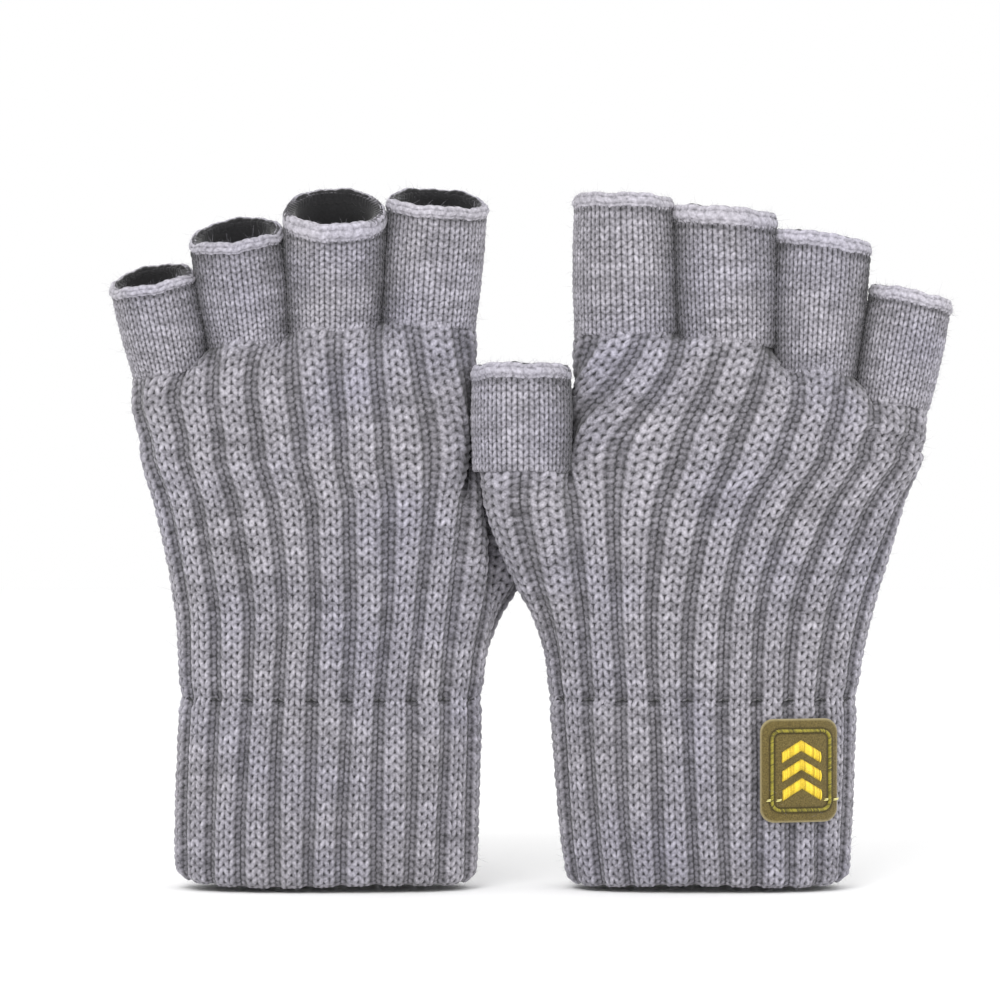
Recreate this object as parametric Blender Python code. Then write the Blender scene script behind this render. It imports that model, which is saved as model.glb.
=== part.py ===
"""A pair of knitted fingerless gloves, filled out and standing on their cuffs.

Metres, +Z up. Each glove is described in its own frame: "across" runs from the thumb side to the
little finger side, "depth" runs from the back of the hand (negative) to the palm (positive), and
"height" runs up from the hem. The left glove is the mirror of the right one, with its own pose.
"""

import math

import bpy
from mathutils import Matrix, Vector

MM = 0.001
GAP = 0.35 * MM                  # clearance kept between two pieces that touch in the real glove
WALL = 2.3 * MM                  # one layer of the knit
PAIR_DEPTH_SHIFT = -3.2 * MM     # centres the pair's box on the origin
PAIR_SIDE_SHIFT = 0.0 * MM

HAND_POINTS = 36                 # points round a cuff or a palm
TUBE_POINTS = 20                 # points round a finger tube
CUFF_ROUNDNESS = 2.5             # superellipse exponents of the sections
TUBE_ROUNDNESS = 2.15

HEM_LIP = 4.6 * MM               # how far the folded hem reaches inwards
HEM_FOLD = 2.6 * MM              # how high the fold is
LINING_TOP = 49.4 * MM
LINING_WALL = 1.8 * MM
ELASTIC_RADIUS = 0.7 * MM
RIM_HEIGHT = 3.0 * MM            # the cast-off edge at each opening
SPREAD_START = 110.0             # the height, in millimetres, where the palm's top begins to slope
TOP_ROUNDNESS = 3.2
LID = 8.0 * MM                   # the closed top of the palm, between the fingers
COLLAR_ROOT = 5.0 * MM           # how deep a collar is rooted in the lid
BORE_DEPTH = 22.0 * MM           # how deep the finger holes reach into the hollow of the hand

KNIT_GREY = (0.30, 0.295, 0.32)
RIM_GREY = (0.38, 0.375, 0.40)
LINING_GREY = (0.22, 0.217, 0.235)
ELASTIC_GREY = (0.12, 0.12, 0.13)
FELT_OLIVE = (0.19, 0.15, 0.06)
BORDER_OLIVE = (0.33, 0.30, 0.02)
MOTIF_YELLOW = (0.86, 0.68, 0.03)
TACK_YELLOW = (0.80, 0.74, 0.32)

# A finger: base centre, rim centre (across, height), base width, rim width, depth, side lean at the
# base and at the rim, and forward tilt at the base and at the rim. Millimetres and degrees.
RIGHT = {
    "name": "right",
    "side": 1,
    "centre": 48.3 * MM,
    "cuff": [(0.0, 38.4, 18.6, 2.2), (2.6, 39.9, 19.8, 1.9), (20.0, 41.5, 20.0, 1.2),
             (38.0, 42.5, 19.8, 0.9), (53.6, 43.5, 19.0, 0.5)],
    "palm": [(54.0, -43.0, 44.0, 18.8), (66.0, -44.2, 45.8, 18.2), (80.0, -45.0, 49.2, 17.4),
             (95.0, -44.0, 53.6, 16.8), (110.0, -40.2, 58.0, 16.0), (124.0, -37.0, 61.8, 15.0),
             (138.0, -36.7, 65.0, 14.2), (147.0, -36.8, 66.2, 13.2)],
    "top_slope": -0.215,
    "thumb": [(66.0, -28.0, 14.0, 0.0), (83.5, -37.4, 14.2, -3.2), (93.0, -41.9, 14.2, -6.0),
              (104.0, -46.8, 13.7, -6.5), (114.0, -50.2, 13.2, -6.5), (120.6, -51.3, 13.1, -6.5)],
    "thumb_opens": -1,
    "fingers": {
        "index": ((-21.6, 159.5), (-22.4, 197.2), 28.0, 26.2, 22.0, (-1, 2), (1, 3)),
        "middle": ((7.5, 156.5), (6.6, 193.6), 26.2, 27.2, 22.0, (1, 5), (1.3, 4)),
        "ring": ((32.6, 147.5), (34.7, 185.2), 21.4, 25.4, 21.0, (4, 9), (1.2, 3)),
        "little": ((55.0, 139.5), (60.3, 168.6), 20.6, 22.0, 19.0, (10, 13), (1.1, 3)),
        "thumb": ((-51.3, 120.6), (-51.4, 150.0), 26.2, 26.0, 21.6, (0, 0), (0, 2)),
    },
}
LEFT = {
    "name": "left",
    "side": -1,
    "centre": -57.1 * MM,
    "cuff": [(0.0, 41.4, 18.6, 1.0), (2.6, 42.6, 19.8, 1.0), (20.0, 42.9, 20.0, 0.8),
             (38.0, 42.9, 19.8, 0.2), (53.6, 42.7, 19.0, -0.3)],
    "palm": [(54.0, -43.0, 42.2, 18.8), (66.0, -44.4, 42.8, 18.2), (80.0, -45.6, 43.8, 17.4),
             (95.0, -45.2, 46.6, 16.8), (110.0, -43.2, 50.1, 16.0), (124.0, -40.4, 52.6, 15.0),
             (138.0, -41.0, 55.6, 14.2), (151.2, -42.0, 57.4, 13.4)],
    "top_slope": -0.13,
    "thumb": [(66.0, -28.0, 14.0, 1.0), (83.5, -38.6, 14.2, 11.0), (90.0, -42.4, 14.2, 15.6),
              (104.0, -47.6, 13.7, 17.0), (114.0, -50.6, 13.2, 17.0), (120.6, -51.7, 13.1, 17.0)],
    "thumb_opens": 1,
    "fingers": {
        "index": ((-28.6, 162.0), (-31.2, 196.0), 25.4, 26.8, 22.0, (-3, -5), (5, 15)),
        "middle": ((-1.2, 160.0), (-1.8, 193.6), 24.8, 26.4, 22.4, (0, -1), (6, 29)),
        "ring": ((23.0, 156.0), (26.2, 183.6), 22.0, 24.2, 21.0, (5, 8), (5, 17)),
        "little": ((45.8, 148.2), (50.8, 172.6), 20.8, 22.6, 19.0, (8, 12), (4, 15)),
        "thumb": ((-51.7, 120.6), (-51.8, 150.0), 26.2, 26.0, 21.6, (0, 0), (0, 2)),
    },
}

# The sewn patch on the right cuff: a rounded plate of felt with a stitched border and chevrons.
PATCH_ACROSS = 25.8 * MM
PATCH_HEIGHT = 34.0 * MM
PATCH_SIZE = (22.4 * MM, 29.0 * MM)
PATCH_THICKNESS = 1.1 * MM
PATCH_CORNER = 3.8 * MM
BORDER_SIZE = (17.2 * MM, 23.4 * MM)
BORDER_WIDTH = 1.2 * MM
BORDER_CORNER = 2.6 * MM
CORNER_STEPS = 4                 # points on each of the border's corners
STRAIGHT_STEPS = 8               # spans along its top and its bottom
STITCH_THICKNESS = 0.6 * MM
CHEVRON_HALF_WIDTH = 5.4 * MM
CHEVRON_BAND = 3.1 * MM
CHEVRON_RISE = 3.4 * MM
CHEVRON_PITCH = 5.3 * MM
TACK_LENGTH = 4.2 * MM
TACK_RADIUS = 0.3 * MM
TACK_DROP = 8.2 * MM


def clear_scene():
    for thing in list(bpy.data.objects):
        bpy.data.objects.remove(thing)


def signed_power(value, power):
    return math.copysign(abs(value) ** power, value)


def section(centre, half_width, half_depth, points, roundness, lean=0.0, tilt=0.0):
    """A superellipse round centre. lean turns it sideways, tilt turns its front side down."""
    turn = Matrix.Rotation(lean, 3, "Y") @ Matrix.Rotation(tilt, 3, "X")
    ring = []
    for step in range(points):
        angle = 2 * math.pi * step / points
        flat = Vector((
            half_width * signed_power(math.cos(angle), 2 / roundness),
            half_depth * signed_power(math.sin(angle), 2 / roundness),
            0.0,
        ))
        ring.append(centre + turn @ flat)
    return ring


def material(name, colour, roughness=0.9):
    made = bpy.data.materials.new(name)
    made.use_nodes = True
    shader = made.node_tree.nodes["Principled BSDF"]
    shader.inputs["Base Color"].default_value = (*colour, 1.0)
    shader.inputs["Roughness"].default_value = roughness
    shader.inputs["Metallic"].default_value = 0.0
    made.diffuse_color = (*colour, 1.0)
    return made


def signed_volume(points, faces):
    total = 0.0
    for face in faces:
        for second in range(1, len(face) - 1):
            a, b, c = points[face[0]], points[face[second]], points[face[second + 1]]
            total += a.dot(b.cross(c))
    return total


def add_piece(name, points, faces, colour, parent=None):
    """Makes one closed body with its faces pointing out, in place under its parent."""
    if signed_volume(points, faces) < 0:
        faces = [tuple(reversed(face)) for face in faces]
    origin = parent.matrix_world.translation.copy() if parent else Vector((0.0, 0.0, 0.0))
    mesh = bpy.data.meshes.new(name)
    mesh.from_pydata([tuple(point - origin) for point in points], [], faces)
    mesh.validate()
    piece = bpy.data.objects.new(name, mesh)
    bpy.context.scene.collection.objects.link(piece)
    piece.data.materials.append(material(name, colour))
    mesh.shade_smooth()
    mesh.set_sharp_from_angle(angle=math.radians(50))
    if parent:
        piece.parent = parent
    return piece


def closed_rings(rings):
    """Points and faces of a body swept through rings, whose last ring joins its first one."""
    count = len(rings[0])
    points = [point for ring in rings for point in ring]
    faces = []
    for level in range(len(rings)):
        above = (level + 1) % len(rings)
        for step in range(count):
            after = (step + 1) % count
            faces.append((
                level * count + step, level * count + after, above * count + after, above * count + step,
            ))
    return points, faces


def capped_rings(rings):
    """Points and triangles of a solid lofted through rings, closed at both ends by fans."""
    count = len(rings[0])
    points = [point for ring in rings for point in ring]
    faces = []
    for level in range(len(rings) - 1):
        for step in range(count):
            low = level * count + step
            low_after = level * count + (step + 1) % count
            faces.append((low, low_after, low_after + count))
            faces.append((low, low_after + count, low + count))
    for start, ring, flip in ((0, rings[0], True), ((len(rings) - 1) * count, rings[-1], False)):
        hub = len(points)
        points.append(sum(ring, Vector()) / count)
        for step in range(count):
            edge = (start + step, start + (step + 1) % count)
            faces.append((edge[1], edge[0], hub) if flip else (edge[0], edge[1], hub))
    return points, faces


def place(glove, across, depth, height):
    """A point of the glove's own frame, in millimetres, as a world point of the pair."""
    return Vector((
        glove["centre"] + glove["side"] * across * MM + PAIR_SIDE_SHIFT,
        depth * MM + PAIR_DEPTH_SHIFT,
        height * MM,
    ))


def cuff_section(glove, height, inset=0.0):
    """The cuff's outline at a height, drawn in by inset."""
    rows = glove["cuff"]
    level = height / MM
    low, high = rows[0], rows[-1]
    for first, second in zip(rows, rows[1:]):
        if first[0] <= level <= second[0]:
            low, high = first, second
            break
    share = (level - low[0]) / (high[0] - low[0])
    width, deep, middle = [low[i] + (high[i] - low[i]) * share for i in (1, 2, 3)]
    return section(
        place(glove, middle, 0.0, level), width * MM - inset, deep * MM - inset,
        HAND_POINTS, CUFF_ROUNDNESS,
    )


def add_cuff(glove, parent):
    """The cuff's outer layer with the folded hem, the layer turned up inside, and the elastic."""
    outside = [cuff_section(glove, row[0] * MM) for row in glove["cuff"]]
    inside = [cuff_section(glove, row[0] * MM, WALL) for row in reversed(glove["cuff"][1:])]
    inside += [cuff_section(glove, HEM_FOLD, HEM_LIP), cuff_section(glove, 0.0, HEM_LIP)]
    name = glove["name"]
    add_piece(name + "_cuff_outer", *closed_rings(outside + inside), KNIT_GREY, parent)

    lining_outset = WALL + GAP
    levels = [HEM_FOLD + GAP] + [row[0] * MM for row in glove["cuff"][2:-1]] + [LINING_TOP]
    lining = [cuff_section(glove, level, lining_outset) for level in levels]
    lining += [cuff_section(glove, level, lining_outset + LINING_WALL) for level in reversed(levels)]
    add_piece(name + "_cuff_lining", *closed_rings(lining), LINING_GREY, parent)

    loops = []
    centre_inset = WALL + GAP + ELASTIC_RADIUS
    centre_height = LINING_TOP + GAP + ELASTIC_RADIUS
    for step in range(6):
        angle = math.radians(60 * step)
        loops.append(cuff_section(
            glove,
            centre_height + ELASTIC_RADIUS * math.sin(angle),
            centre_inset - ELASTIC_RADIUS * math.cos(angle),
        ))
    add_piece(name + "_wrist_elastic", *closed_rings(loops), ELASTIC_GREY, parent)


def palm_rings(glove, inset, drop, dip):
    """Sections of the palm. drop lowers the top, dip lowers the bottom, inset thins it all round."""
    rings = []
    rows = glove["palm"]
    for index, (height, left, right, deep) in enumerate(rows):
        share = max(0.0, (height - SPREAD_START) / (rows[-1][0] - SPREAD_START))
        lower = dip if index == 0 else (drop if index == len(rows) - 1 else 0.0)
        lean = math.atan(glove["top_slope"] * share) * glove["side"]
        rings.append(section(
            place(glove, (left + right) / 2, 0.0, height) - Vector((0, 0, lower)),
            (right - left) / 2 * MM - inset, deep * MM - inset,
            HAND_POINTS, CUFF_ROUNDNESS + (TOP_ROUNDNESS - CUFF_ROUNDNESS) * share, lean=-lean,
        ))
    return rings


def lid_height(glove, across):
    """The height of the palm's closed top below a finger, in millimetres."""
    height, left, right, _ = glove["palm"][-1]
    return height + glove["top_slope"] * (across - (left + right) / 2)


def thumb_rings(glove, inset, dip):
    """Sections of the gusset that carries the thumb. dip raises its closed lower end."""
    rings = []
    deep = glove["fingers"]["thumb"][4] / 2
    for index, (height, across, half_width, depth) in enumerate(glove["thumb"]):
        rise = dip if index == 0 else (-GAP if index == len(glove["thumb"]) - 1 else 0.0)
        rings.append(section(
            place(glove, across, depth, height) + Vector((0, 0, rise)),
            half_width * MM - inset, deep * MM - inset, TUBE_POINTS, TUBE_ROUNDNESS,
        ))
    return rings


def finger_frame(glove, finger, share):
    """Centre, half width, half depth, lean and tilt of a finger tube, from 0 at its base to 1."""
    base, rim, base_width, rim_width, deep, leans, tilts = glove["fingers"][finger]
    lean = math.radians(leans[0] + (leans[1] - leans[0]) * share)
    tilt = math.radians(tilts[0] + (tilts[1] - tilts[0]) * share)
    mean_tilt = math.radians(tilts[0] + (tilts[1] - tilts[0]) * share / 2)
    climb = (rim[1] - base[1]) * share
    start_depth = glove["thumb"][-1][3] if finger == "thumb" else 0.0
    centre = place(
        glove,
        base[0] + (rim[0] - base[0]) * share,
        start_depth - climb * math.tan(mean_tilt),
        base[1] + climb,
    )
    half_width = (base_width + (rim_width - base_width) * share) / 2 * MM
    return centre, half_width, deep / 2 * MM, lean * glove["side"], tilt


def finger_section(glove, finger, share, inset, rise=0.0):
    """A section of a finger tube. rise moves it along the tube."""
    centre, half_width, half_depth, lean, tilt = finger_frame(glove, finger, share)
    along = Matrix.Rotation(lean, 3, "Y") @ Matrix.Rotation(tilt, 3, "X") @ Vector((0, 0, rise))
    return section(
        centre + along, half_width - inset, half_depth - inset,
        TUBE_POINTS, TUBE_ROUNDNESS, lean, tilt,
    )


def cutter(name, rings):
    """A hidden solid for a Boolean modifier."""
    points, faces = capped_rings(rings)
    if signed_volume(points, faces) < 0:
        faces = [tuple(reversed(face)) for face in faces]
    mesh = bpy.data.meshes.new(name)
    mesh.from_pydata([tuple(point) for point in points], [], faces)
    helper = bpy.data.objects.new(name, mesh)
    bpy.context.scene.collection.objects.link(helper)
    helper.hide_render = True
    helper.display_type = "WIRE"
    return helper


def boolean(piece, helper, operation):
    made = piece.modifiers.new(helper.name, "BOOLEAN")
    made.operation = operation
    made.solver = "EXACT"
    made.object = helper


def add_hand(glove, parent):
    """The ribbed hand: a palm with a thumb gusset and four short collars, hollow right through."""
    name = glove["name"] + "_hand_shell"
    piece = add_piece(name, *capped_rings(palm_rings(glove, 0.0, 0.0, 0.0)), KNIT_GREY, parent)
    boolean(piece, cutter(name + "_gusset", thumb_rings(glove, 0.0, 0.0)), "UNION")
    long_fingers = [finger for finger in glove["fingers"] if finger != "thumb"]
    for finger in long_fingers:
        base = glove["fingers"][finger][0]
        root = (base[1] - lid_height(glove, base[0])) * MM + COLLAR_ROOT
        collar = [
            finger_section(glove, finger, 0.0, 0.0, -root),
            finger_section(glove, finger, 0.0, 0.0, -GAP),
        ]
        boolean(piece, cutter(name + "_" + finger + "_collar", collar), "UNION")
    boolean(piece, cutter(name + "_hollow", palm_rings(glove, WALL, LID, 6.0 * MM)), "DIFFERENCE")
    hollow = thumb_rings(glove, WALL, 6.0 * MM)
    hollow.append([point + Vector((0, 0, 5.0 * MM)) for point in hollow[-1]])
    boolean(piece, cutter(name + "_gusset_hollow", hollow), "DIFFERENCE")
    for finger in long_fingers:
        bore = [
            finger_section(glove, finger, 0.0, WALL, -BORE_DEPTH),
            finger_section(glove, finger, 0.0, WALL, 3.0 * MM),
        ]
        boolean(piece, cutter(name + "_" + finger + "_bore", bore), "DIFFERENCE")


def flex_axis(glove, finger):
    """A point on the edge that the tube folds about, and the world direction of that edge."""
    centre, _, half_depth, lean, tilt = finger_frame(glove, finger, 0.0)
    side = glove["thumb_opens"] if finger == "thumb" else 1
    turn = Matrix.Rotation(lean, 3, "Y") @ Matrix.Rotation(tilt, 3, "X")
    point = centre + turn @ Vector((0, side * half_depth, -GAP / 2))
    direction = turn @ Vector((-side, 0, 0))
    return point, direction


def add_finger(glove, finger, parent):
    """A plain knitted tube and the cast-off edge round its opening, on one folding joint."""
    name = glove["name"] + "_" + finger
    point, _ = flex_axis(glove, finger)
    hinge = bpy.data.objects.new(name + "_joint", None)
    bpy.context.scene.collection.objects.link(hinge)
    hinge.parent = parent
    hinge.location = point
    bpy.context.view_layer.update()

    base, rim = glove["fingers"][finger][:2]
    length = math.hypot(rim[0] - base[0], rim[1] - base[1]) * MM
    end = 1.0 - RIM_HEIGHT / length
    shares = (0.0, end / 2, end)
    rings = [finger_section(glove, finger, share, 0.0) for share in shares]
    rings += [finger_section(glove, finger, share, WALL) for share in reversed(shares)]
    add_piece(name + "_tube", *closed_rings(rings), KNIT_GREY, hinge)

    profile = [(0.0, 0.0), (-0.7, 0.9), (-0.7, 2.1), (0.5, 2.8), (2.4, 2.4), (2.5, 0.0)]
    edge = [
        finger_section(glove, finger, end, inset * MM, GAP + rise * MM) for inset, rise in profile
    ]
    add_piece(name + "_rim", *closed_rings(edge), RIM_GREY, hinge)


def cuff_front(glove, along, height, outset):
    """A point on the cuff's front. along is an arc from the patch's middle, outset stands off it."""
    rows = glove["cuff"]
    low, high = rows[2], rows[3]
    share = (height / MM - low[0]) / (high[0] - low[0])
    width, deep, middle = [(low[i] + (high[i] - low[i]) * share) * MM for i in (1, 2, 3)]

    def front(across):
        reach = min(0.999, abs(across / width))
        return -deep * (1 - reach ** CUFF_ROUNDNESS) ** (1 / CUFF_ROUNDNESS)

    step = 0.1 * MM
    across = PATCH_ACROSS
    walked = 0.0
    heading = math.copysign(step, along)
    while walked < abs(along):
        rise = front(across + heading) - front(across)
        stride = math.hypot(heading, rise)
        part = min(1.0, (abs(along) - walked) / stride)
        across += heading * part
        walked += stride * part
    slope = (front(across + step) - front(across - step)) / (2 * step)
    normal = Vector((slope * glove["side"], -1.0, 0.0)).normalized()
    place_at = place(glove, (middle + across) / MM, front(across) / MM, height / MM)
    return place_at + normal * outset


def patch_plate(glove, outline, low, high):
    """A thin plate that follows the cuff, from a list of (along, bottom, top) columns."""
    rings = []
    for along, bottom, top in outline:
        rings.append([
            cuff_front(glove, along, PATCH_HEIGHT + bottom, low),
            cuff_front(glove, along, PATCH_HEIGHT + top, low),
            cuff_front(glove, along, PATCH_HEIGHT + top, high),
            cuff_front(glove, along, PATCH_HEIGHT + bottom, high),
        ])
    return capped_rings(rings)


def rounded_columns(size, corner, count):
    """Columns of a rounded rectangle: where each one stands, and its bottom and top."""
    columns = []
    half_width, half_height = size[0] / 2, size[1] / 2
    places = [-half_width + corner * (1 - math.cos(math.radians(a))) for a in (14, 40, 65, 90)]
    inner = [places[-1] + (half_width - corner) * 2 * step / count for step in range(1, count)]
    places = places + inner + [-value for value in reversed(places)]
    for along in places:
        into = max(0.0, abs(along) - (half_width - corner))
        top = half_height - corner + math.sqrt(max(0.0, corner ** 2 - into ** 2))
        columns.append((along, -top, top))
    return columns


def border_ring(glove, inset, outset):
    """One line round the stitched border: inset moves it inwards, outset off the felt."""
    ring = []
    corner = BORDER_CORNER - inset
    reach = (BORDER_SIZE[0] / 2 - BORDER_CORNER, BORDER_SIZE[1] / 2 - BORDER_CORNER)
    corners = [(1, 1), (-1, 1), (-1, -1), (1, -1)]
    for quarter, (across, up) in enumerate(corners):
        for step in range(CORNER_STEPS):
            angle = math.radians(90) * (quarter + step / (CORNER_STEPS - 1))
            along = across * reach[0] + corner * math.cos(angle)
            height = up * reach[1] + corner * math.sin(angle)
            ring.append((along, height))
        if quarter % 2 == 0:
            edge = ring[-1]
            for step in range(1, STRAIGHT_STEPS):
                ring.append((edge[0] * (1 - 2 * step / STRAIGHT_STEPS), edge[1]))
    return [cuff_front(glove, along, PATCH_HEIGHT + height, outset) for along, height in ring]


def add_patch(glove, parent):
    """The felt backing, its stitched border, three satin-stitch chevrons and two tack threads."""
    felt_low = GAP
    felt_high = felt_low + PATCH_THICKNESS
    stitch_low = felt_high + GAP
    stitch_high = stitch_low + STITCH_THICKNESS
    backing = rounded_columns(PATCH_SIZE, PATCH_CORNER, 8)
    add_piece("patch_backing", *patch_plate(glove, backing, felt_low, felt_high), FELT_OLIVE, parent)

    border = [
        border_ring(glove, 0.0, stitch_low), border_ring(glove, BORDER_WIDTH, stitch_low),
        border_ring(glove, BORDER_WIDTH, stitch_high), border_ring(glove, 0.0, stitch_high),
    ]
    add_piece("patch_border", *closed_rings(border), BORDER_OLIVE, parent)

    for row, where in enumerate(("lower", "middle", "upper")):
        columns = []
        for step in range(-3, 4):
            along = CHEVRON_HALF_WIDTH * step / 3
            peak = CHEVRON_RISE * (1 - abs(step) / 3)
            middle = (row - 1) * CHEVRON_PITCH + peak - CHEVRON_RISE / 2
            columns.append((along, middle - CHEVRON_BAND / 2, middle + CHEVRON_BAND / 2))
        add_piece(
            "patch_chevron_" + where,
            *patch_plate(glove, columns, stitch_low, stitch_high), MOTIF_YELLOW, parent,
        )

    for where, side in (("inner", -1), ("outer", 1)):
        middle = side * (BORDER_SIZE[0] / 2 - BORDER_WIDTH / 2)
        lift = stitch_high + GAP + TACK_RADIUS
        rings = []
        for step in range(5):
            along = middle + TACK_LENGTH * (step / 4 - 0.5)
            loop = []
            for corner in range(6):
                angle = math.radians(60 * corner)
                loop.append(cuff_front(
                    glove, along,
                    PATCH_HEIGHT - TACK_DROP + TACK_RADIUS * math.sin(angle),
                    lift + TACK_RADIUS * math.cos(angle),
                ))
            rings.append(loop)
        add_piece("patch_tack_" + where, *capped_rings(rings), TACK_YELLOW, parent)


def add_glove(glove):
    """One glove under its own empty: the cuff, the hand and the five finger tubes."""
    root = bpy.data.objects.new(glove["name"] + "_glove", None)
    bpy.context.scene.collection.objects.link(root)
    add_cuff(glove, root)
    add_hand(glove, root)
    for finger in glove["fingers"]:
        add_finger(glove, finger, root)
    return root


def main():
    clear_scene()
    right_root = add_glove(RIGHT)
    add_glove(LEFT)
    add_patch(RIGHT, right_root)


main()
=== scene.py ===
"""The looks of a pair of ribbed, knitted fingerless gloves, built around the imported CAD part.

Every surface of yarn is real geometry: a smooth base surface is read from the CAD nodes,
and a stitch relief is raised on it along the surface normals.
"""

import math

import bpy
import numpy as np
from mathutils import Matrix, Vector
from mathutils.bvhtree import BVHTree


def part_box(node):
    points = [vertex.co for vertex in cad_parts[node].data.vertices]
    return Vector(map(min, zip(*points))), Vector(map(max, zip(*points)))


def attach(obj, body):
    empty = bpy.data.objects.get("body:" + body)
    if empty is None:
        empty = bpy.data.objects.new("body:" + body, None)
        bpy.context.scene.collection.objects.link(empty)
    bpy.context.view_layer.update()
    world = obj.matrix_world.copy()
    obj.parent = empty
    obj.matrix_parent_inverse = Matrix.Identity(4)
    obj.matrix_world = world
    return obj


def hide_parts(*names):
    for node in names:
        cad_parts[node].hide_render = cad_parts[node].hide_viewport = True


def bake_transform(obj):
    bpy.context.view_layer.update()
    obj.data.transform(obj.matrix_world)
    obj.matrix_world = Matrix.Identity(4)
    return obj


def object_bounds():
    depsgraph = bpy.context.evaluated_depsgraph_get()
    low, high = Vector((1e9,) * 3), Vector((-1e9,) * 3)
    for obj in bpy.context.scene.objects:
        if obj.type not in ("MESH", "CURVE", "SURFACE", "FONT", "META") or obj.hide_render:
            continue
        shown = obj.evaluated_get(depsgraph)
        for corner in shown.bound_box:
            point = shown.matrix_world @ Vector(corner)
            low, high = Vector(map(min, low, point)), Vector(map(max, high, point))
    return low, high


MM = 0.001
FINGERS = ("index", "middle", "ring", "little", "thumb")
UPPER_FINGERS = FINGERS[:4]

# The rib: wide bands of two wales, which are four legs, with a purl recess between bands.
RIBS = 22
THUMB_RIBS = 4
PALM_RIBS = RIBS - THUMB_RIBS
RIB_COLUMNS = 28
LINING_COLUMNS = 14
HALF_RECESS = 0.155
RECESS_SIDE = 0.11
RIB_DEPTH = 1.2 * MM
BAND_CROWN = 0.35 * MM
LEG_RELIEF = 0.85 * MM
PURL_RELIEF = 0.35 * MM
PURL_COLUMNS = 2
PURL_PACE = 1.45
RIB_COURSE = 2.65 * MM
ROW_STEP = 0.33 * MM
CUFF_PHASE = 0.03

# Plain stocking stitch on the stubs.
STUB_LEGS = 58
LEG_COLUMNS = 5
WALE_PULL = 0.02
STUB_COURSE = 2.05 * MM
STUB_ROW_STEP = 0.26 * MM
STUB_RELIEF = 0.6 * MM
STUB_SWELL = 0.7 * MM
NEIGHBOUR_SWELL = 0.9 * MM

# One grain of yarn: its tilt in degrees, then pitch, half width and half length in leg widths.
RIB_GRAIN = (23.0, 1.42, 0.43, 1.05)
PURL_GRAIN = (15.0, 1.28, 0.47, 0.72)
STUB_GRAIN = (21.0, 1.34, 0.45, 0.96)
RIM_GRAIN = (24.0, 1.2, 0.47, 0.85)

# Fabric and edges.
FABRIC = 2.0 * MM
CUFF_FABRIC = 2.3 * MM
LINING_FABRIC = 1.6 * MM
HEM_HALF = 2.3 * MM
HEM_RISE = 3.6 * MM
HEM_CORNER = 2.2 * MM
HEM_ROWS = 30
HIDDEN_HEM_ROWS = 4
PINCH = 0.6 * MM
PINCH_REACH = 2.4 * MM
WRIST_OVERLAP = 1.6 * MM
SHOULDER_DROP = 12.0 * MM
TOP_OVERLAP = 1.4 * MM
TOP_TUCK = -0.9 * MM
FADE = 5.0 * MM
RECESS_FADE = 10.0 * MM

# The open edge of each stub in mm: lift at the front, lift at the back, and the rim's height.
OPEN_EDGE = {
    "right": {
        "index": (1.3, 1.3, 4.0),
        "middle": (1.1, 1.1, 5.4),
        "ring": (1.9, 1.9, 4.2),
        "little": (2.3, 2.3, 3.8),
        "thumb": (0.2, 0.2, 4.4),
    },
    "left": {
        "index": (0.2, 1.5, 3.2),
        "middle": (-0.2, 1.5, 5.2),
        "ring": (3.0, 5.4, 3.0),
        "little": (1.3, 3.4, 2.6),
        "thumb": (0.6, 0.6, 3.6),
    },
}
SIDE_SAG = 1.1 * MM
RIM_HALF_WIDTH = 1.4 * MM
RIM_STAND = 1.3 * MM
RIM_ROWS = 36
RIM_CHAINS = 6
NEIGHBOURS = {"index": (0, 1), "middle": (1, 1), "ring": (1, 1), "little": (1, 0), "thumb": (0, 1)}

# How far the ribs of each glove's back drift sideways towards the little finger, in ribs.
RIB_DRIFT = {"right": 1.5, "left": 0.5}
DRIFT_START = 75.0 * MM
# How dark the painted shade in the creases between the stubs and in the crotch pockets is, and how far
# the pockets reach.
CREASE_SHADE = 0.8
POCKET_REACH = 4.0 * MM

# How finely outlines are read, and how the hand is joined at the fork of palm and thumb.
OUTLINE_POINTS = 720
THUMB_POINTS = 240
KNUCKLE_POINTS = 80
SEAM_REACH = 5.0 * MM
INNER_SKIP = 12
NEARLY_ONE = 0.999999

# Threads on the patch, in mm: radius, arch over the felt, and how far they stand off it.
BORDER_THREAD = (0.22, 0.42, 0.1)
SATIN_THREAD = (0.2, 0.45, 0.12)
TACK_THREAD = (0.13, 0.5, 0.35)

# The camera looks straight along the depth, level with the middle of the gloves.
SENSOR_WIDTH = 36.0
SHOT_WIDTH = 0.285
CAMERA_DISTANCE = 1.2
CAMERA_HEIGHT = 109.7 * MM
CAMERA_ASIDE = 9.0 * MM


def smooth(x):
    """0 below 0, 1 above 1, and a smooth step between."""
    x = np.clip(x, 0.0, 1.0)
    return x * x * (3.0 - 2.0 * x)


def even(count):
    """Even shares of one whole turn."""
    return np.arange(count) / count


def spread(values, shape):
    """A row or a column of values carried over a whole grid, one after another."""
    return np.broadcast_to(values, shape).ravel()


# ---------------------------------------------------------------- reading the frame


def tree_of(node):
    """A ray-casting tree of one CAD node."""
    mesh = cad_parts[node].data
    faces = [polygon.vertices[:] for polygon in mesh.polygons]
    return BVHTree.FromPolygons([vertex.co for vertex in mesh.vertices], faces)


def corner_points(node):
    """The different vertices of a CAD node."""
    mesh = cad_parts[node].data
    points = np.zeros(len(mesh.vertices) * 3)
    mesh.vertices.foreach_get("co", points)
    return np.unique(np.round(points.reshape(-1, 3), 6), axis=0)


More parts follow.
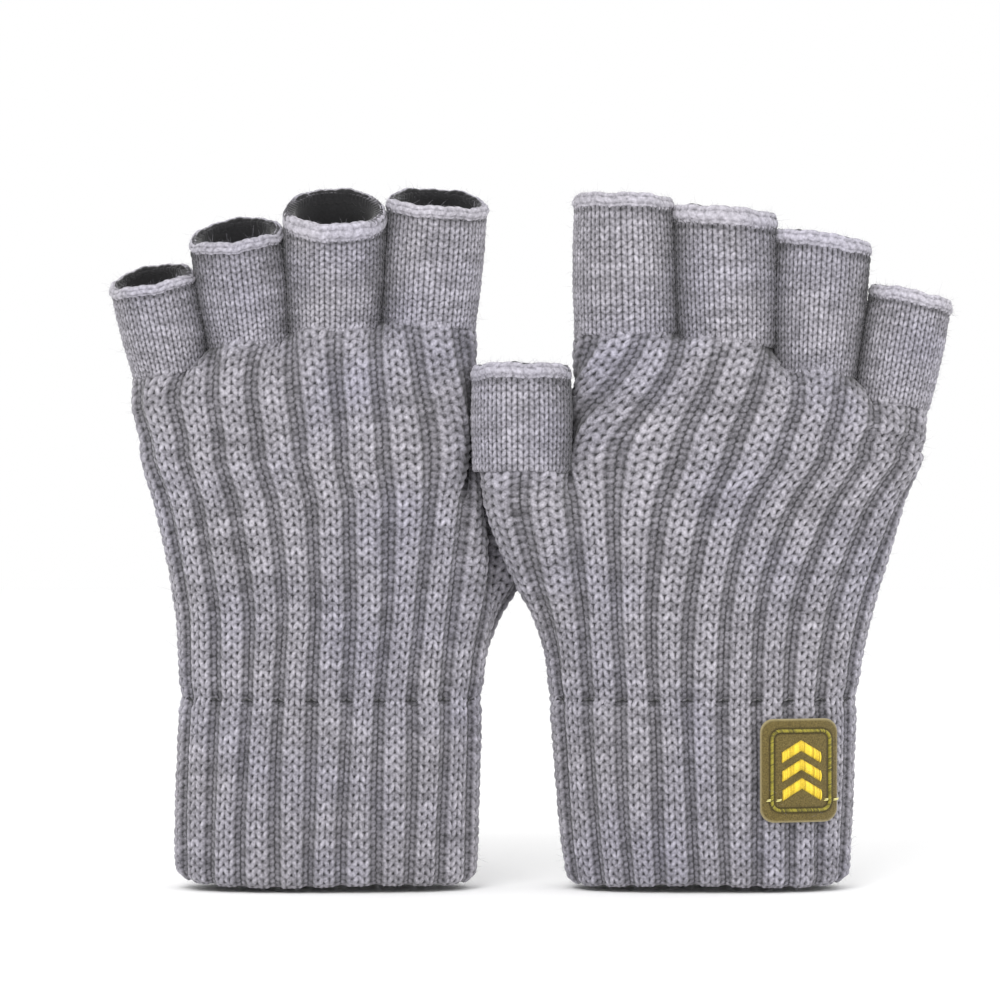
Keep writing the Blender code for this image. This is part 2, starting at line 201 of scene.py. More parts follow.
class Glove:
    """One glove's own axes: across points from the thumb to the little finger."""

    def __init__(self, name, side):
        self.name = name
        self.side = side
        low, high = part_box(f"{name}_cuff_outer")
        self.centre = np.array([(low.x + high.x) / 2, (low.y + high.y) / 2, 0.0])

    def local(self, points):
        """World points in the glove's own axes."""
        return (np.asarray(points) - self.centre) * np.array([self.side, 1.0, 1.0])

    def world(self, points):
        """The glove's own points in world axes."""
        return np.asarray(points) * np.array([self.side, 1.0, 1.0]) + self.centre

    def cast(self, tree, middle, half, height_at, count=240):
        """The outer outline of a solid, from the thumb side round the front."""
        outline = []
        for step in range(count):
            turn = math.pi + 2 * math.pi * step / count
            reach = np.array([math.cos(turn) * half[0], math.sin(turn) * half[1]])
            direction = reach / np.linalg.norm(reach)
            height = height_at(middle[0] + reach[0])
            start = np.array([*(np.array(middle) + direction * 0.3), height])
            ray = Vector((-direction[0] * self.side, -direction[1], 0.0))
            hit = tree.ray_cast(Vector(self.world(start)), ray)[0]
            if hit is not None:
                outline.append(self.local(hit))
        return soften(resample(np.array(outline), even(OUTLINE_POINTS)), 5.0)


def resample(loop, shares):
    """Points of a closed loop at the given shares of its length."""
    closed = np.vstack([loop, loop[:1]])
    steps = np.linalg.norm(np.diff(closed, axis=0), axis=1)
    along = np.concatenate([[0.0], np.cumsum(steps)]) / steps.sum()
    shares = np.asarray(shares) % 1.0
    return np.stack([np.interp(shares, along, closed[:, k]) for k in range(3)], 1)


def resample_open(line, shares):
    """Points of an open line at the given shares of its length."""
    steps = np.linalg.norm(np.diff(line, axis=0), axis=1)
    along = np.concatenate([[0.0], np.cumsum(steps)]) / steps.sum()
    return np.stack([np.interp(shares, along, line[:, k]) for k in range(3)], 1)


def soften(loop, spread):
    """A closed, evenly spaced loop blurred over a number of samples."""
    turns = np.fft.rfftfreq(len(loop)) * 2 * math.pi
    keep = np.exp(-0.5 * (turns * spread) ** 2)[:, None]
    return np.fft.irfft(np.fft.rfft(loop, axis=0) * keep, n=len(loop), axis=0)


def fine_ring(ring, count):
    """A ring of a few even points carried on smoothly to more points."""
    spectrum = np.fft.rfft(ring, axis=0)
    full = np.zeros((count // 2 + 1, 3), complex)
    full[: len(spectrum) - 1] = spectrum[:-1]
    return np.fft.irfft(full, n=count, axis=0) * count / len(ring)


def loft(keys, knots, at):
    """Rows at the given heights through key rows, on a smooth cubic."""
    keys, knots, at = np.array(keys), np.array(knots), np.array(at)
    slopes = np.gradient(keys, knots, axis=0)
    low = np.clip(np.searchsorted(knots, at, side="right") - 1, 0, len(knots) - 2)
    span = (knots[low + 1] - knots[low])[:, None, None]
    t = (at - knots[low])[:, None, None] / span
    return (
        keys[low] * (2 * t**3 - 3 * t**2 + 1)
        + slopes[low] * span * (t**3 - 2 * t**2 + t)
        + keys[low + 1] * (3 * t**2 - 2 * t**3)
        + slopes[low + 1] * span * (t**3 - t**2)
    )


def tube_rings(glove, finger):
    """The base, middle and top outer rings of a stub's CAD tube, in the glove's axes."""
    points = glove.local(corner_points(f"{glove.name}_{finger}_tube"))
    points = points[np.argsort(points[:, 2])]
    rings = []
    for level in np.split(points, 3):
        middle = (level.min(0) + level.max(0)) / 2
        half = (level.max(0) - level.min(0)) / 2
        flat = (level - middle)[:, :2] / half[:2]
        outer = np.argsort(np.hypot(flat[:, 0], flat[:, 1]))[len(level) // 2 :]
        angle = np.arctan2(flat[outer, 1], flat[outer, 0])
        shift = math.pi / len(outer)
        order = np.argsort((angle + math.pi + shift) % (2 * math.pi))
        rings.append(level[outer][order])
    return rings


# ---------------------------------------------------------------- stitches


def leg_relief(across, course, slant, shape):
    """Height 0 to 1 of a column of slanted, overlapping grains, and which stitch it is."""
    nearest = np.round(course)
    height = np.zeros(np.broadcast(across, course).shape)
    stitch = np.zeros(height.shape, int)
    degrees, pitch, half_width, half_length = shape
    tilt = math.radians(degrees)
    for step in (-1, 0, 1):
        up = (course - nearest - step) * pitch
        side = across * slant
        along = up * math.cos(tilt) - side * math.sin(tilt)
        aside = up * math.sin(tilt) + side * math.cos(tilt)
        room = 1.0 - (aside / half_width) ** 2 - (along / half_length) ** 2
        grain = np.sqrt(np.clip(room, 0.0, 1.0))
        higher = grain > height
        height = np.where(higher, grain, height)
        stitch = np.where(higher, (nearest + step).astype(int), stitch)
    return height, stitch


def table_value(table, row, column):
    """A value from a random table, repeated at its edges."""
    return table[row % table.shape[0], column % table.shape[1]]


def marl_tone(table, along, course):
    """The yarn's tone, which changes slowly along a course, from -1 to 1."""
    total = 0.0
    for weight, length in ((0.55, 13 * MM), (0.45, 3.2 * MM)):
        place = along / length
        cell = np.floor(place).astype(int)
        share = smooth(place - cell)
        near = table_value(table, course, cell)
        far = table_value(table, course, cell + 1)
        total = total + weight * (near * (1 - share) + far * share)
    return total * 2.0 - 1.0


def rib_relief(ribs, course, tables, depth=1.0):
    """Height, painted light and shade, and course number of the wide rib; its recesses fill in as depth
    goes to 0.
    """
    place = ribs % 1.0
    from_recess = np.abs((ribs + 0.5) % 1.0 - 0.5)
    raised = smooth((from_recess - HALF_RECESS + RECESS_SIDE) / (2 * RECESS_SIDE))
    legs = (place - HALF_RECESS) / (1.0 - 2.0 * HALF_RECESS) * 4.0
    leg = np.clip(np.floor(legs), 0, 3)
    slant = np.where(leg % 2 == 0, 1.0, -1.0)
    leg_across = np.clip(legs - leg - 0.5, -0.5, 0.5)
    yarn, stitch = leg_relief(leg_across, course, slant, RIB_GRAIN)
    leg_number = (np.floor(ribs) * 4 + leg).astype(int)
    yarn = yarn * (0.74 + 0.36 * table_value(tables[0], leg_number, stitch))
    purls = ((ribs + HALF_RECESS) % 1.0) / (2.0 * HALF_RECESS) * PURL_COLUMNS
    purl = np.clip(np.floor(purls), 0, PURL_COLUMNS - 1)
    purl_across = np.clip(purls - purl - 0.5, -0.5, 0.5)
    purl_slant = np.where(purl % 2 == 0, -1.0, 1.0)
    purl_course = course * PURL_PACE + 0.5 * purl
    dots, loop = leg_relief(purl_across, purl_course, purl_slant, PURL_GRAIN)
    dots = dots * (0.6 + 0.4 * table_value(tables[0], leg_number, loop + 7))
    crown = BAND_CROWN * (1.0 - ((0.5 - from_recess) / 0.5) ** 2)
    height = (
        crown
        - RIB_DEPTH * depth * (1.0 - raised)
        + LEG_RELIEF * (yarn - 0.5) * raised
        + PURL_RELIEF * dots * (1.0 - raised)
    )
    # Painted shade: darker between the grains of the bands, and in the recess.
    recess = 0.09 + (0.9 - 0.36 * depth) * dots
    painted_light_and_felt_edge = (0.1 + 0.9 * yarn) * raised + recess * (1.0 - raised)
    return height, painted_light_and_felt_edge, stitch


def plain_relief(legs, course, tables):
    """Height, painted light and shade, and course number of plain stocking stitch."""
    leg = np.floor(legs)
    slant = np.where(leg % 2 == 0, 1.0, -1.0)
    leg_across = legs - leg - 0.5 - WALE_PULL * slant
    yarn, stitch = leg_relief(leg_across, course, slant, STUB_GRAIN)
    yarn = yarn * (0.74 + 0.36 * table_value(tables[0], leg.astype(int), stitch))
    # The second value is painted shade, darker between the grains.
    return STUB_RELIEF * (yarn - 0.5), 0.12 + 0.88 * yarn, stitch


def new_tables(seed):
    """Random tables for one piece: how full each stitch is, and the yarn's tone."""
    rng = np.random.default_rng(seed)
    return rng.random((97, 61)), rng.random((89, 211))


# ---------------------------------------------------------------- meshes


def vertex_normals(points, quads):
    """Smooth normals of a quad mesh."""
    a, b, c, d = (points[quads[:, k]] for k in range(4))
    face = np.cross(c - a, d - b)
    normal = np.zeros_like(points)
    for k in range(4):
        for axis in range(3):
            normal[:, axis] += np.bincount(quads[:, k], face[:, axis], len(points))
    length = np.linalg.norm(normal, axis=1, keepdims=True)
    return normal / np.maximum(length, 1e-12)


def grid_quads(index):
    """The faces between the rows and columns of an index grid."""
    corners = [index[:-1, :-1], index[:-1, 1:], index[1:, 1:], index[1:, :-1]]
    return np.stack(corners, -1).reshape(-1, 4)


def closed_index(rows, columns):
    """An index grid that closes on itself both ways."""
    index = np.arange(rows * columns).reshape(rows, columns)
    index = np.concatenate([index, index[:, :1]], 1)
    return np.concatenate([index, index[:1]], 0)


def mesh_piece(name, points, quads, painted_light_and_felt_edge, tone, material):
    """A shaded mesh object with the two surface values that the yarn materials read: the painted light
    and shade, and the tone.
    """
    mesh = bpy.data.meshes.new(name)
    mesh.vertices.add(len(points))
    mesh.vertices.foreach_set("co", points.astype(np.float32).ravel())
    mesh.loops.add(len(quads) * 4)
    mesh.loops.foreach_set("vertex_index", quads.astype(np.int32).ravel())
    mesh.polygons.add(len(quads))
    mesh.polygons.foreach_set("loop_start", np.arange(len(quads), dtype=np.int32) * 4)
    mesh.update(calc_edges=True)
    mesh.validate()
    mesh.shade_smooth()
    for label, values in (("painted_light_and_felt_edge", painted_light_and_felt_edge), ("tone", tone)):
        layer = mesh.attributes.new(label, "FLOAT", "POINT")
        layer.data.foreach_set("value", values.astype(np.float32))
    mesh.materials.append(material)
    piece = bpy.data.objects.new(name, mesh)
    bpy.context.scene.collection.objects.link(piece)
    return piece


def fibres(points, normals, count, seed, length=1.6 * MM, radius=0.022 * MM):
    """Loose fibres that stand out of a surface: thin four-sided tapering hairs."""
    rng = np.random.default_rng(seed)
    pick = rng.integers(len(points), size=count)
    normal = normals[pick]
    lift = rng.choice((0.15, 0.9), size=(count, 1), p=(0.6, 0.4))
    direction = normal * lift + rng.normal(size=(count, 3)) * 0.6
    direction /= np.linalg.norm(direction, axis=1, keepdims=True)
    bend = rng.normal(size=(count, 3)) * 0.45
    reach = length * (0.35 + rng.random(count) ** 2 * 1.3)[:, None]
    side = np.cross(direction, rng.normal(size=(count, 3)))
    side /= np.linalg.norm(side, axis=1, keepdims=True)
    up = np.cross(direction, side)
    rings = []
    for share, width in ((0.0, 1.0), (0.55, 0.8), (1.0, 0.25)):
        centre = points[pick] - normal * 0.15 * MM
        centre = centre + direction * reach * share + bend * reach * share**2
        for turn in range(4):
            angle = math.pi / 2 * turn
            swing = side * math.cos(angle) + up * math.sin(angle)
            rings.append(centre + swing * radius * width)
    corners = np.stack(rings, 1).reshape(-1, 3)
    corners[:, 2] = np.maximum(corners[:, 2], 0.1 * MM)
    faces = [[3, 2, 1, 0], [8, 9, 10, 11]]
    for ring in (0, 4):
        for turn in range(4):
            after = (turn + 1) % 4
            faces.append([ring + turn, ring + after, ring + 4 + after, ring + 4 + turn])
    starts = np.arange(count)[:, None, None] * 12
    quads = (np.array(faces)[None] + starts).reshape(-1, 4)
    tone = np.repeat(rng.normal(size=count) * 0.5 + 0.25, 12)
    return corners, quads, tone


def knit_piece(name, glove, base, quads, relief, inside, tone, material, hairs, seed):
    """Raises the relief on a base surface, paints the inside in full shade, adds loose fibres and makes
    the piece.
    """
    height, painted_light_and_felt_edge = relief
    base = glove.world(base)
    if glove.side < 0:
        quads = quads[:, ::-1]
    normal = vertex_normals(base, quads)
    points = base + normal * height[:, None]
    # Painted shade: the inside is painted as dark as the deepest shade.
    painted_light_and_felt_edge = np.where(inside, 0.0, painted_light_and_felt_edge)
    outer = np.flatnonzero(~inside)
    hair, hair_quads, hair_tone = fibres(points[outer], normal[outer], hairs, seed)
    quads = np.concatenate([quads, hair_quads + len(points)])
    points = np.concatenate([points, hair])
    painted_light_and_felt_edge = np.concatenate([painted_light_and_felt_edge, np.ones(len(hair))])
    tone = np.concatenate([tone, hair_tone])
    return mesh_piece(name, points, quads, painted_light_and_felt_edge, tone, material)


# ---------------------------------------------------------------- the hand


def closed_from(ring, first, shares, fork):
    """A closed ring from one of its points round the front, with its ends drawn to the fork."""
    ring = np.roll(ring, -first, axis=0)
    line = resample_open(np.vstack([ring, ring[:1]]), shares)
    length = np.linalg.norm(np.diff(line, axis=0), axis=1).sum()
    near = np.exp(-((np.minimum(shares, 1 - shares) * length / SEAM_REACH) ** 2))
    return line + (fork - line[0]) * near[:, None]


def held_shares(shares, lead, lag, hold):
    """Shares that keep the ribs of the back and palm where they are below the fork."""
    sharp = 0.6 / PALM_RIBS
    ahead = lead * hold * (1 - shares - np.exp(-shares / sharp))
    behind = lag * hold * (shares - np.exp(-(1 - shares) / sharp))
    held = shares + ahead - behind
    return np.clip((held - held[0]) / (held[-1] - held[0]), 0.0, 1.0)


def rows_below_fork(outlines, rises, fork, palm_shares, thumb_shares):
    """Rows of the palm and of the thumb's root, which share each outline below the fork."""
    start = outlines[0][round(OUTLINE_POINTS * THUMB_RIBS / 2 / RIBS), 0]
    around, half = even(OUTLINE_POINTS), OUTLINE_POINTS // 2
    palm_rows, thumb_rows = [], []
    for rise, outline in zip(rises, outlines):
        split = start + (fork[0] - start) * rise
        front = np.interp(split, outline[:half, 0], around[:half])
        back = np.interp(-split, -outline[half:, 0], around[half:])
        palm_rows.append(resample(outline, front + palm_shares * (back - front)))
        thumb_rows.append(resample(outline, back + (front + 1 - back) * thumb_shares))
    return palm_rows, thumb_rows


def thumb_top(base, shares, fork):
    """The top row of the thumb's root, just inside the base of its stub."""
    ring = push_out(fine_ring(base, THUMB_POINTS), TOP_TUCK)
    ring[:, 2] += TOP_OVERLAP
    inner = ring[:, 0].argmax()
    line = closed_from(ring[::-1], THUMB_POINTS - 1 - inner, shares, fork)
    if line[len(line) // 4, 1] < line[-len(line) // 4, 1]:
        line = closed_from(ring, inner, shares, fork)
    return line


def hand_keys(glove):
    """Key rows of the palm's columns and the thumb's columns, with their levels."""
    tree = tree_of(f"{glove.name}_hand_shell")
    low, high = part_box(f"{glove.name}_hand_shell")
    wrist = low.z
    thumb_base = tube_rings(glove, "thumb")[0]
    crotch = thumb_base[:, 2].mean() + 0.5 * MM
    half = ((high.x - low.x) / 2, (high.y - low.y) / 2)
    middle = np.array([0.05 * glove.local([low, high])[:, 0].max(), 0.0])
    heights = np.linspace(wrist + 0.4 * MM, crotch - 12 * MM, 6)
    outlines = [glove.cast(tree, middle, half, lambda a, z=height: z) for height in heights]

    palm_ring = glove.cast(tree, middle, half, lambda a: crotch + 4 * MM)
    palm_middle = (palm_ring.max(0) + palm_ring.min(0))[:2] / 2
    palm_half = (palm_ring.max(0) - palm_ring.min(0))[:2] / 2
    palm_ring[:, 2] = crotch
    fork = (thumb_base[thumb_base[:, 0].argmax()] + palm_ring[0]) / 2
    fork[2] = crotch

    palm_shares = np.arange(PALM_RIBS * RIB_COLUMNS + 1) / (PALM_RIBS * RIB_COLUMNS)
    thumb_shares = np.arange(THUMB_RIBS * RIB_COLUMNS + 1) / (THUMB_RIBS * RIB_COLUMNS)
    rises = (heights - wrist) / (crotch - wrist)
    palm_rows, thumb_rows = rows_below_fork(outlines, rises, fork, palm_shares, thumb_shares)
    lead, lag = rib_shift(palm_rows[-1], palm_ring, fork)
    palm_rows.append(closed_from(palm_ring, 0, held_shares(palm_shares, lead, lag, 1.0), fork))
    thumb_rows.append(thumb_top(thumb_base, thumb_shares, fork))

    bases = [tube_rings(glove, finger)[0] for finger in UPPER_FINGERS]
    centres = np.array([ring.mean(0) for ring in bases])
    slope, level = np.polyfit(centres[:, 0], centres[:, 2], 1)
    levels = [*heights, crotch]
    for rows in (palm_rows, thumb_rows):
        rows[0][:, 2] -= WRIST_OVERLAP
    levels[0] -= WRIST_OVERLAP
    for rise in (0.33, 0.67, 1.0):

        def height_at(across, rise=rise):
            top = level + slope * across - SHOULDER_DROP
            return crotch + (top - crotch) * rise

        ring = glove.cast(tree, palm_middle, palm_half, height_at)
        shares = held_shares(palm_shares, lead, lag, 1.0 - 0.25 * rise)
        palm_rows.append(resample(ring, shares * NEARLY_ONE))
        levels.append(crotch + (level - SHOULDER_DROP - crotch) * rise)

    top_row = top_line(bases, palm_shares)
    shoulder = palm_rows[-1]
    waist = shoulder + (top_row - shoulder) * np.array([0.34, 0.34, 0.55])
    palm_rows += [waist, top_row]
    levels += [levels[-1] + SHOULDER_DROP * 0.55, levels[-1] + SHOULDER_DROP]
    return palm_rows, thumb_rows, np.array(levels), len(heights)


def rib_shift(last, ring, fork):
    """How far the ribs must lead on the back and lag on the palm to run on straight."""
    widen = (ring[:, 0].max() - fork[0]) / (last[:, 0].max() - fork[0])
    quarter = len(last) // 4
    shares = even(len(ring))
    half = len(ring) // 2
    front = fork[0] + (last[quarter, 0] - fork[0]) * widen
    back = fork[0] + (last[-1 - quarter, 0] - fork[0]) * widen
    front = np.interp(front, ring[:half, 0], shares[:half])
    back = np.interp(-back, -ring[half:, 0], shares[half:])
    return np.linalg.solve([[0.75, -0.25], [0.25, -0.75]], [front - 0.25, back - 0.75])


def push_out(ring, amount):
    """A flat ring moved outwards from its middle."""
    middle = ring.mean(0)
    away = ring - middle
    return ring + away / np.linalg.norm(away, axis=1, keepdims=True) * amount


def top_line(bases, shares):
    """The hand's top edge: round the front of the four stubs and back behind them."""
    rings = []
    for base in bases:
        ring = push_out(fine_ring(base, KNUCKLE_POINTS), TOP_TUCK)
        ring[:, 2] += TOP_OVERLAP
        rings.append(ring)
    front, back = [], []
    for k, ring in enumerate(rings):
        start, end = ring[:, 0].argmin(), ring[:, 0].argmax()
        after_start = ring[(start + 10) % KNUCKLE_POINTS]
        before_start = ring[(start - 10) % KNUCKLE_POINTS]
        step = 1 if after_start[1] < before_start[1] else -1
        half_ring = step * np.arange(KNUCKLE_POINTS // 2 + 1)
        near = ring[(start + half_ring) % KNUCKLE_POINTS].copy()
        far = ring[(start - half_ring) % KNUCKLE_POINTS].copy()
        for line in (near, far):
            line[0], line[-1] = ring[start], ring[end]
            if k > 0:
                line[0] = (rings[k - 1][rings[k - 1][:, 0].argmax()] + ring[start]) / 2
            if k < len(rings) - 1:
                after = rings[k + 1]
                line[-1] = (after[after[:, 0].argmin()] + ring[end]) / 2
        front.append(near if k == 0 else near[1:])
        back.append(far if k == 0 else far[1:])
    front, back = np.vstack(front), np.vstack(back)
    half = len(shares) // 2
    ahead = resample_open(front, np.arange(half + 1) / half)
    behind = resample_open(back, np.arange(half + 1) / half)
    return np.vstack([ahead, behind[::-1][1:]])


def weld_hand(palm, thumb, fork_row):
    """Index grids of the palm and thumb that share their edges up to the fork."""
    palm_index = np.arange(palm[0] * palm[1]).reshape(palm)
    thumb_index = palm[0] * palm[1] + np.arange(thumb[0] * thumb[1]).reshape(thumb)
    rows = fork_row + 1
    palm_index[fork_row:, -1] = palm_index[fork_row:, 0]
    thumb_index[:rows, -1] = palm_index[:rows, 0]
    thumb_index[:rows, 0] = palm_index[:rows, -1]
    return palm_index, thumb_index


def drift(glove, ribs, height, fork, top):
    """How far the ribs lean towards the little finger, in ribs: none at the thumb's seams."""
    rise = smooth((height - DRIFT_START) / (top - DRIFT_START))
    inside_seams = smooth(ribs / 5.0) * smooth((PALM_RIBS - ribs) / 5.0)
    above = smooth((height - fork) / (top - fork))
    return RIB_DRIFT[glove.name] * rise * (inside_seams + (1.0 - inside_seams) * above)


def crotch_pockets(glove, base):
    """How close each point is to a crotch between two stubs, from 0 to 1."""
    bases = [tube_rings(glove, finger)[0] for finger in UPPER_FINGERS]
    closeness = np.zeros(len(base))
    for ring, after in zip(bases[:-1], bases[1:]):
        crotch = (ring[ring[:, 0].argmax()] + after[after[:, 0].argmin()]) / 2
        across = base[:, 0] - crotch[0]
        up = base[:, 2] - crotch[2] - TOP_OVERLAP
        near = np.exp(-(across**2 + up**2) / POCKET_REACH**2)
        closeness = np.maximum(closeness, near)
    return closeness


def hand_faces(palm_index, thumb_index, fork_row, shift):
    """Faces of the outside, and of the whole hand: its inside has fewer rows, and its edges close it."""
    outer = np.vstack([grid_quads(palm_index), grid_quads(thumb_index)])
    count = len(palm_index)
    palm_rows = np.unique(np.r_[0:count:INNER_SKIP, fork_row, count - 1])
    thumb_rows = palm_rows[palm_rows <= fork_row]
    inner = np.vstack([grid_quads(palm_index[palm_rows]), grid_quads(thumb_index[thumb_rows])])
    strips = []
    for line in (palm_index[0], palm_index[-1], thumb_index[0], thumb_index[-1]):
        strips.append(grid_quads(np.stack([line + shift, line])))
    strips[1], strips[3] = strips[1][:, ::-1], strips[3][:, ::-1]
    return outer, np.vstack([outer, inner[:, ::-1] + shift, *strips])


def build_hand(glove, material):
    """The knitted hand: one surface that forks into the palm and the thumb's root."""
    palm_keys, thumb_keys, levels, fork_key = hand_keys(glove)
    fork = levels[fork_key]
    below = np.linspace(levels[0], fork, round((fork - levels[0]) / ROW_STEP))
    above = np.linspace(fork, levels[-1], round((levels[-1] - fork) / ROW_STEP))[1:]
    climb = np.concatenate([below, above])
    palm = loft(palm_keys, levels, climb)
    thumb = loft(thumb_keys, levels[: fork_key + 1], below)
    palm_shape, thumb_shape = palm.shape[:2], thumb.shape[:2]
    points = np.vstack([palm.reshape(-1, 3), thumb.reshape(-1, 3)])
    palm_ribs = spread(np.linspace(0, PALM_RIBS, palm_shape[1]), palm_shape)
    thumb_ribs = spread(np.linspace(PALM_RIBS, RIBS, thumb_shape[1]), thumb_shape)
    palm_room = spread((levels[-1] - climb)[:, None], palm_shape)
    thumb_room = spread((fork - below)[:, None], thumb_shape)

    fork_row = len(below) - 1
    palm_index, thumb_index = weld_hand(palm_shape, thumb_shape, fork_row)
    outer, quads = hand_faces(palm_index, thumb_index, fork_row, len(points))
    normal = vertex_normals(points, outer)
    all_points = np.vstack([points, points - normal * FABRIC])
    used, quads = np.unique(quads, return_inverse=True)
    quads = quads.reshape(-1, 4)
    quads = quads[quads[:, 0] != quads[:, 2]]
    inside = used >= len(points)
    ribs = np.tile(np.concatenate([palm_ribs, thumb_ribs]), 2)[used]
    room = np.tile(np.concatenate([palm_room, thumb_room]), 2)[used]
    base = all_points[used]

    seed = 11 if glove.side > 0 else 12
    tables = new_tables(seed)
    wander = 0.035 * np.sin(base[:, 2] / (17 * MM) + ribs * 1.7)
    wander = wander - drift(glove, ribs, base[:, 2], fork, levels[-1])
    depth = smooth(room / RECESS_FADE)
    course = base[:, 2] / RIB_COURSE
    height, painted_light_and_felt_edge, stitch = rib_relief(ribs + wander, course, tables, depth)
    pocket = crotch_pockets(glove, base)
    height = height * (0.45 + 0.55 * smooth(room / FADE)) - 1.0 * MM * pocket
    # Painted shade in the crotch pockets between the stubs.
    painted_light_and_felt_edge = painted_light_and_felt_edge * (1.0 - CREASE_SHADE * pocket)
    seam = levels[0] + WRIST_OVERLAP
    height -= PINCH * np.exp(-(((base[:, 2] - seam) / PINCH_REACH) ** 2))
    height = np.where(inside, 0.0, height)
    tone = marl_tone(tables[1], ribs * 11 * MM, stitch)
    name = f"{glove.name}_hand_knit"
    return knit_piece(name, glove, base, quads, (height, painted_light_and_felt_edge), inside, tone, material, 9000, seed)


# ---------------------------------------------------------------- cuffs


def cuff_outline(glove, node, heights, columns):
    """Outlines of a cuff part at some heights, with the outward direction at each point."""
    tree = tree_of(node)
    low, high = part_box(node)
    half = ((high.x - low.x) / 2, (high.y - low.y) / 2)
    middle = glove.local([(low + high) / 2])[0, :2]
    rows = []
    for height in heights:
        outline = glove.cast(tree, middle, half, lambda a, z=height: z)
        rows.append(resample(outline, even(columns)))
    rows = np.array(rows)
    along = np.roll(rows, -1, axis=1) - np.roll(rows, 1, axis=1)
    outward = np.stack([along[..., 1], -along[..., 0], np.zeros(along.shape[:2])], -1)
    outward /= np.linalg.norm(outward, axis=2, keepdims=True)
    if (outward[0, 0] @ np.array([1.0, 0.0, 0.0])) > 0:
        outward = -outward
    return rows, outward


def sleeve(glove, node, heights, columns, profile):
    """A closed sleeve: the profile gives a set-in distance and a height for each row."""
    keys, outward = cuff_outline(glove, node, heights, columns)
    levels = np.array([z for _, z in profile])
    order = np.clip(levels, heights[0], heights[-1])
    rows = loft(keys, heights, order)
    away = loft(outward, heights, order)
    rows = rows - away * np.array([inset for inset, _ in profile])[:, None, None]
    rows[..., 2] = levels[:, None]
    return rows


def cuff_profile(top):
    """The outer cuff's section: up the outside, over the top, down the inside and round the hem."""
    shoulder = top - 1.0 * MM
    climb = np.linspace(HEM_RISE, shoulder, round(top / ROW_STEP))
    profile = [(0.0, z) for z in climb]
    for turn in np.linspace(20, 160, 7):
        angle = math.radians(turn)
        inset = CUFF_FABRIC / 2 * (1 - math.cos(angle))
        profile.append((inset, shoulder + 1.0 * MM * math.sin(angle)))
    for z in np.linspace(top - 1.5 * MM, HEM_RISE + 0.4 * MM, 16):
        profile.append((CUFF_FABRIC, z))
    for turn in np.linspace(180, 352, HEM_ROWS):
        angle = math.radians(turn)
        profile.append((HEM_HALF * (1 - math.cos(angle)), HEM_RISE * (1 + math.sin(angle))))
    return profile, len(climb)


def build_cuff(glove, material):
    """The outer cuff: a ribbed sleeve with a folded hem."""
    name = f"{glove.name}_cuff_outer"
    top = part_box(name)[1].z
    heights = np.linspace(HEM_RISE, top - 0.8 * MM, 5)
    profile, climb_rows = cuff_profile(top)
    columns = RIBS * RIB_COLUMNS
    rows = sleeve(glove, name, heights, columns, profile)
    shape = rows.shape[:2]
    inside = np.ones(shape, bool)
    inside[: climb_rows + 3] = False
    inside[HIDDEN_HEM_ROWS - HEM_ROWS :] = False
    inside = inside.ravel()
    ribs = spread(np.arange(columns) / RIB_COLUMNS, shape)
    base = rows.reshape(-1, 3)
    seed = 21 if glove.side > 0 else 22
    tables = new_tables(seed)
    level = np.array([z for _, z in profile])
    course = spread(level[:, None], shape) / RIB_COURSE
    wander = 0.03 * np.sin(base[:, 2] / (15 * MM) + ribs * 2.1)
    height, painted_light_and_felt_edge, stitch = rib_relief(ribs + CUFF_PHASE + wander, course, tables)
    height -= PINCH * np.exp(-(((base[:, 2] - top) / PINCH_REACH) ** 2))
    lip = smooth((base[:, 2] - 0.3 * MM) / (2.2 * MM))
    corner = 1.0 - smooth(base[:, 2] / (4.5 * MM))
    sideways = base[:, 0] - (base[:, 0].max() + base[:, 0].min()) / 2
    sideways = sideways / sideways.max()
    near_hem = 1.0 - smooth(base[:, 2] / (12 * MM))
    base[:, 2] += HEM_CORNER * sideways**12 * near_hem
    base[:, 2] += 0.35 * MM * (1.0 + np.sin(4.5 * sideways + seed)) * near_hem
    height = height * (0.35 + 0.65 * lip) - 1.0 * MM * corner
    height = np.where(inside, 0.0, height)
    tone = marl_tone(tables[1], ribs * 9.5 * MM, stitch)
    quads = grid_quads(closed_index(*shape))
    name = f"{glove.name}_cuff_knit"
    return knit_piece(name, glove, base, quads, (height, painted_light_and_felt_edge), inside, tone, material, 5000, seed)


def build_lining(glove, material):
    """The inner layer of the turned cuff, ribbed on the face that is seen."""
    name = f"{glove.name}_cuff_lining"
    low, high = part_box(name)
    heights = np.linspace(low.z + 0.8 * MM, high.z - 0.8 * MM, 4)
    hidden_rows = 12
    profile = [(0.1 * MM, z) for z in np.linspace(heights[0], heights[-1], hidden_rows)]
    count = round((heights[-1] - heights[0]) / (0.5 * MM))
    profile += [(LINING_FABRIC, z) for z in np.linspace(heights[-1], heights[0], count)]
    columns = RIBS * LINING_COLUMNS
    rows = sleeve(glove, name, heights, columns, profile)
    hidden = np.zeros(rows.shape[:2], bool)
    hidden[:hidden_rows] = True
    hidden = hidden.ravel()
    ribs = spread(np.arange(columns) / LINING_COLUMNS, rows.shape[:2])
    base = rows.reshape(-1, 3)
    seed = 31 if glove.side > 0 else 32
    tables = new_tables(seed)
    height, painted_light_and_felt_edge, stitch = rib_relief(ribs, base[:, 2] / RIB_COURSE, tables)
    height = np.where(hidden, 0.0, height * 0.5)
    tone = marl_tone(tables[1], ribs * 9.5 * MM, stitch)
    quads = grid_quads(closed_index(*rows.shape[:2]))
    name = f"{name}_knit"
    return knit_piece(name, glove, base, quads, (height, painted_light_and_felt_edge), hidden, tone, material, 300, seed)


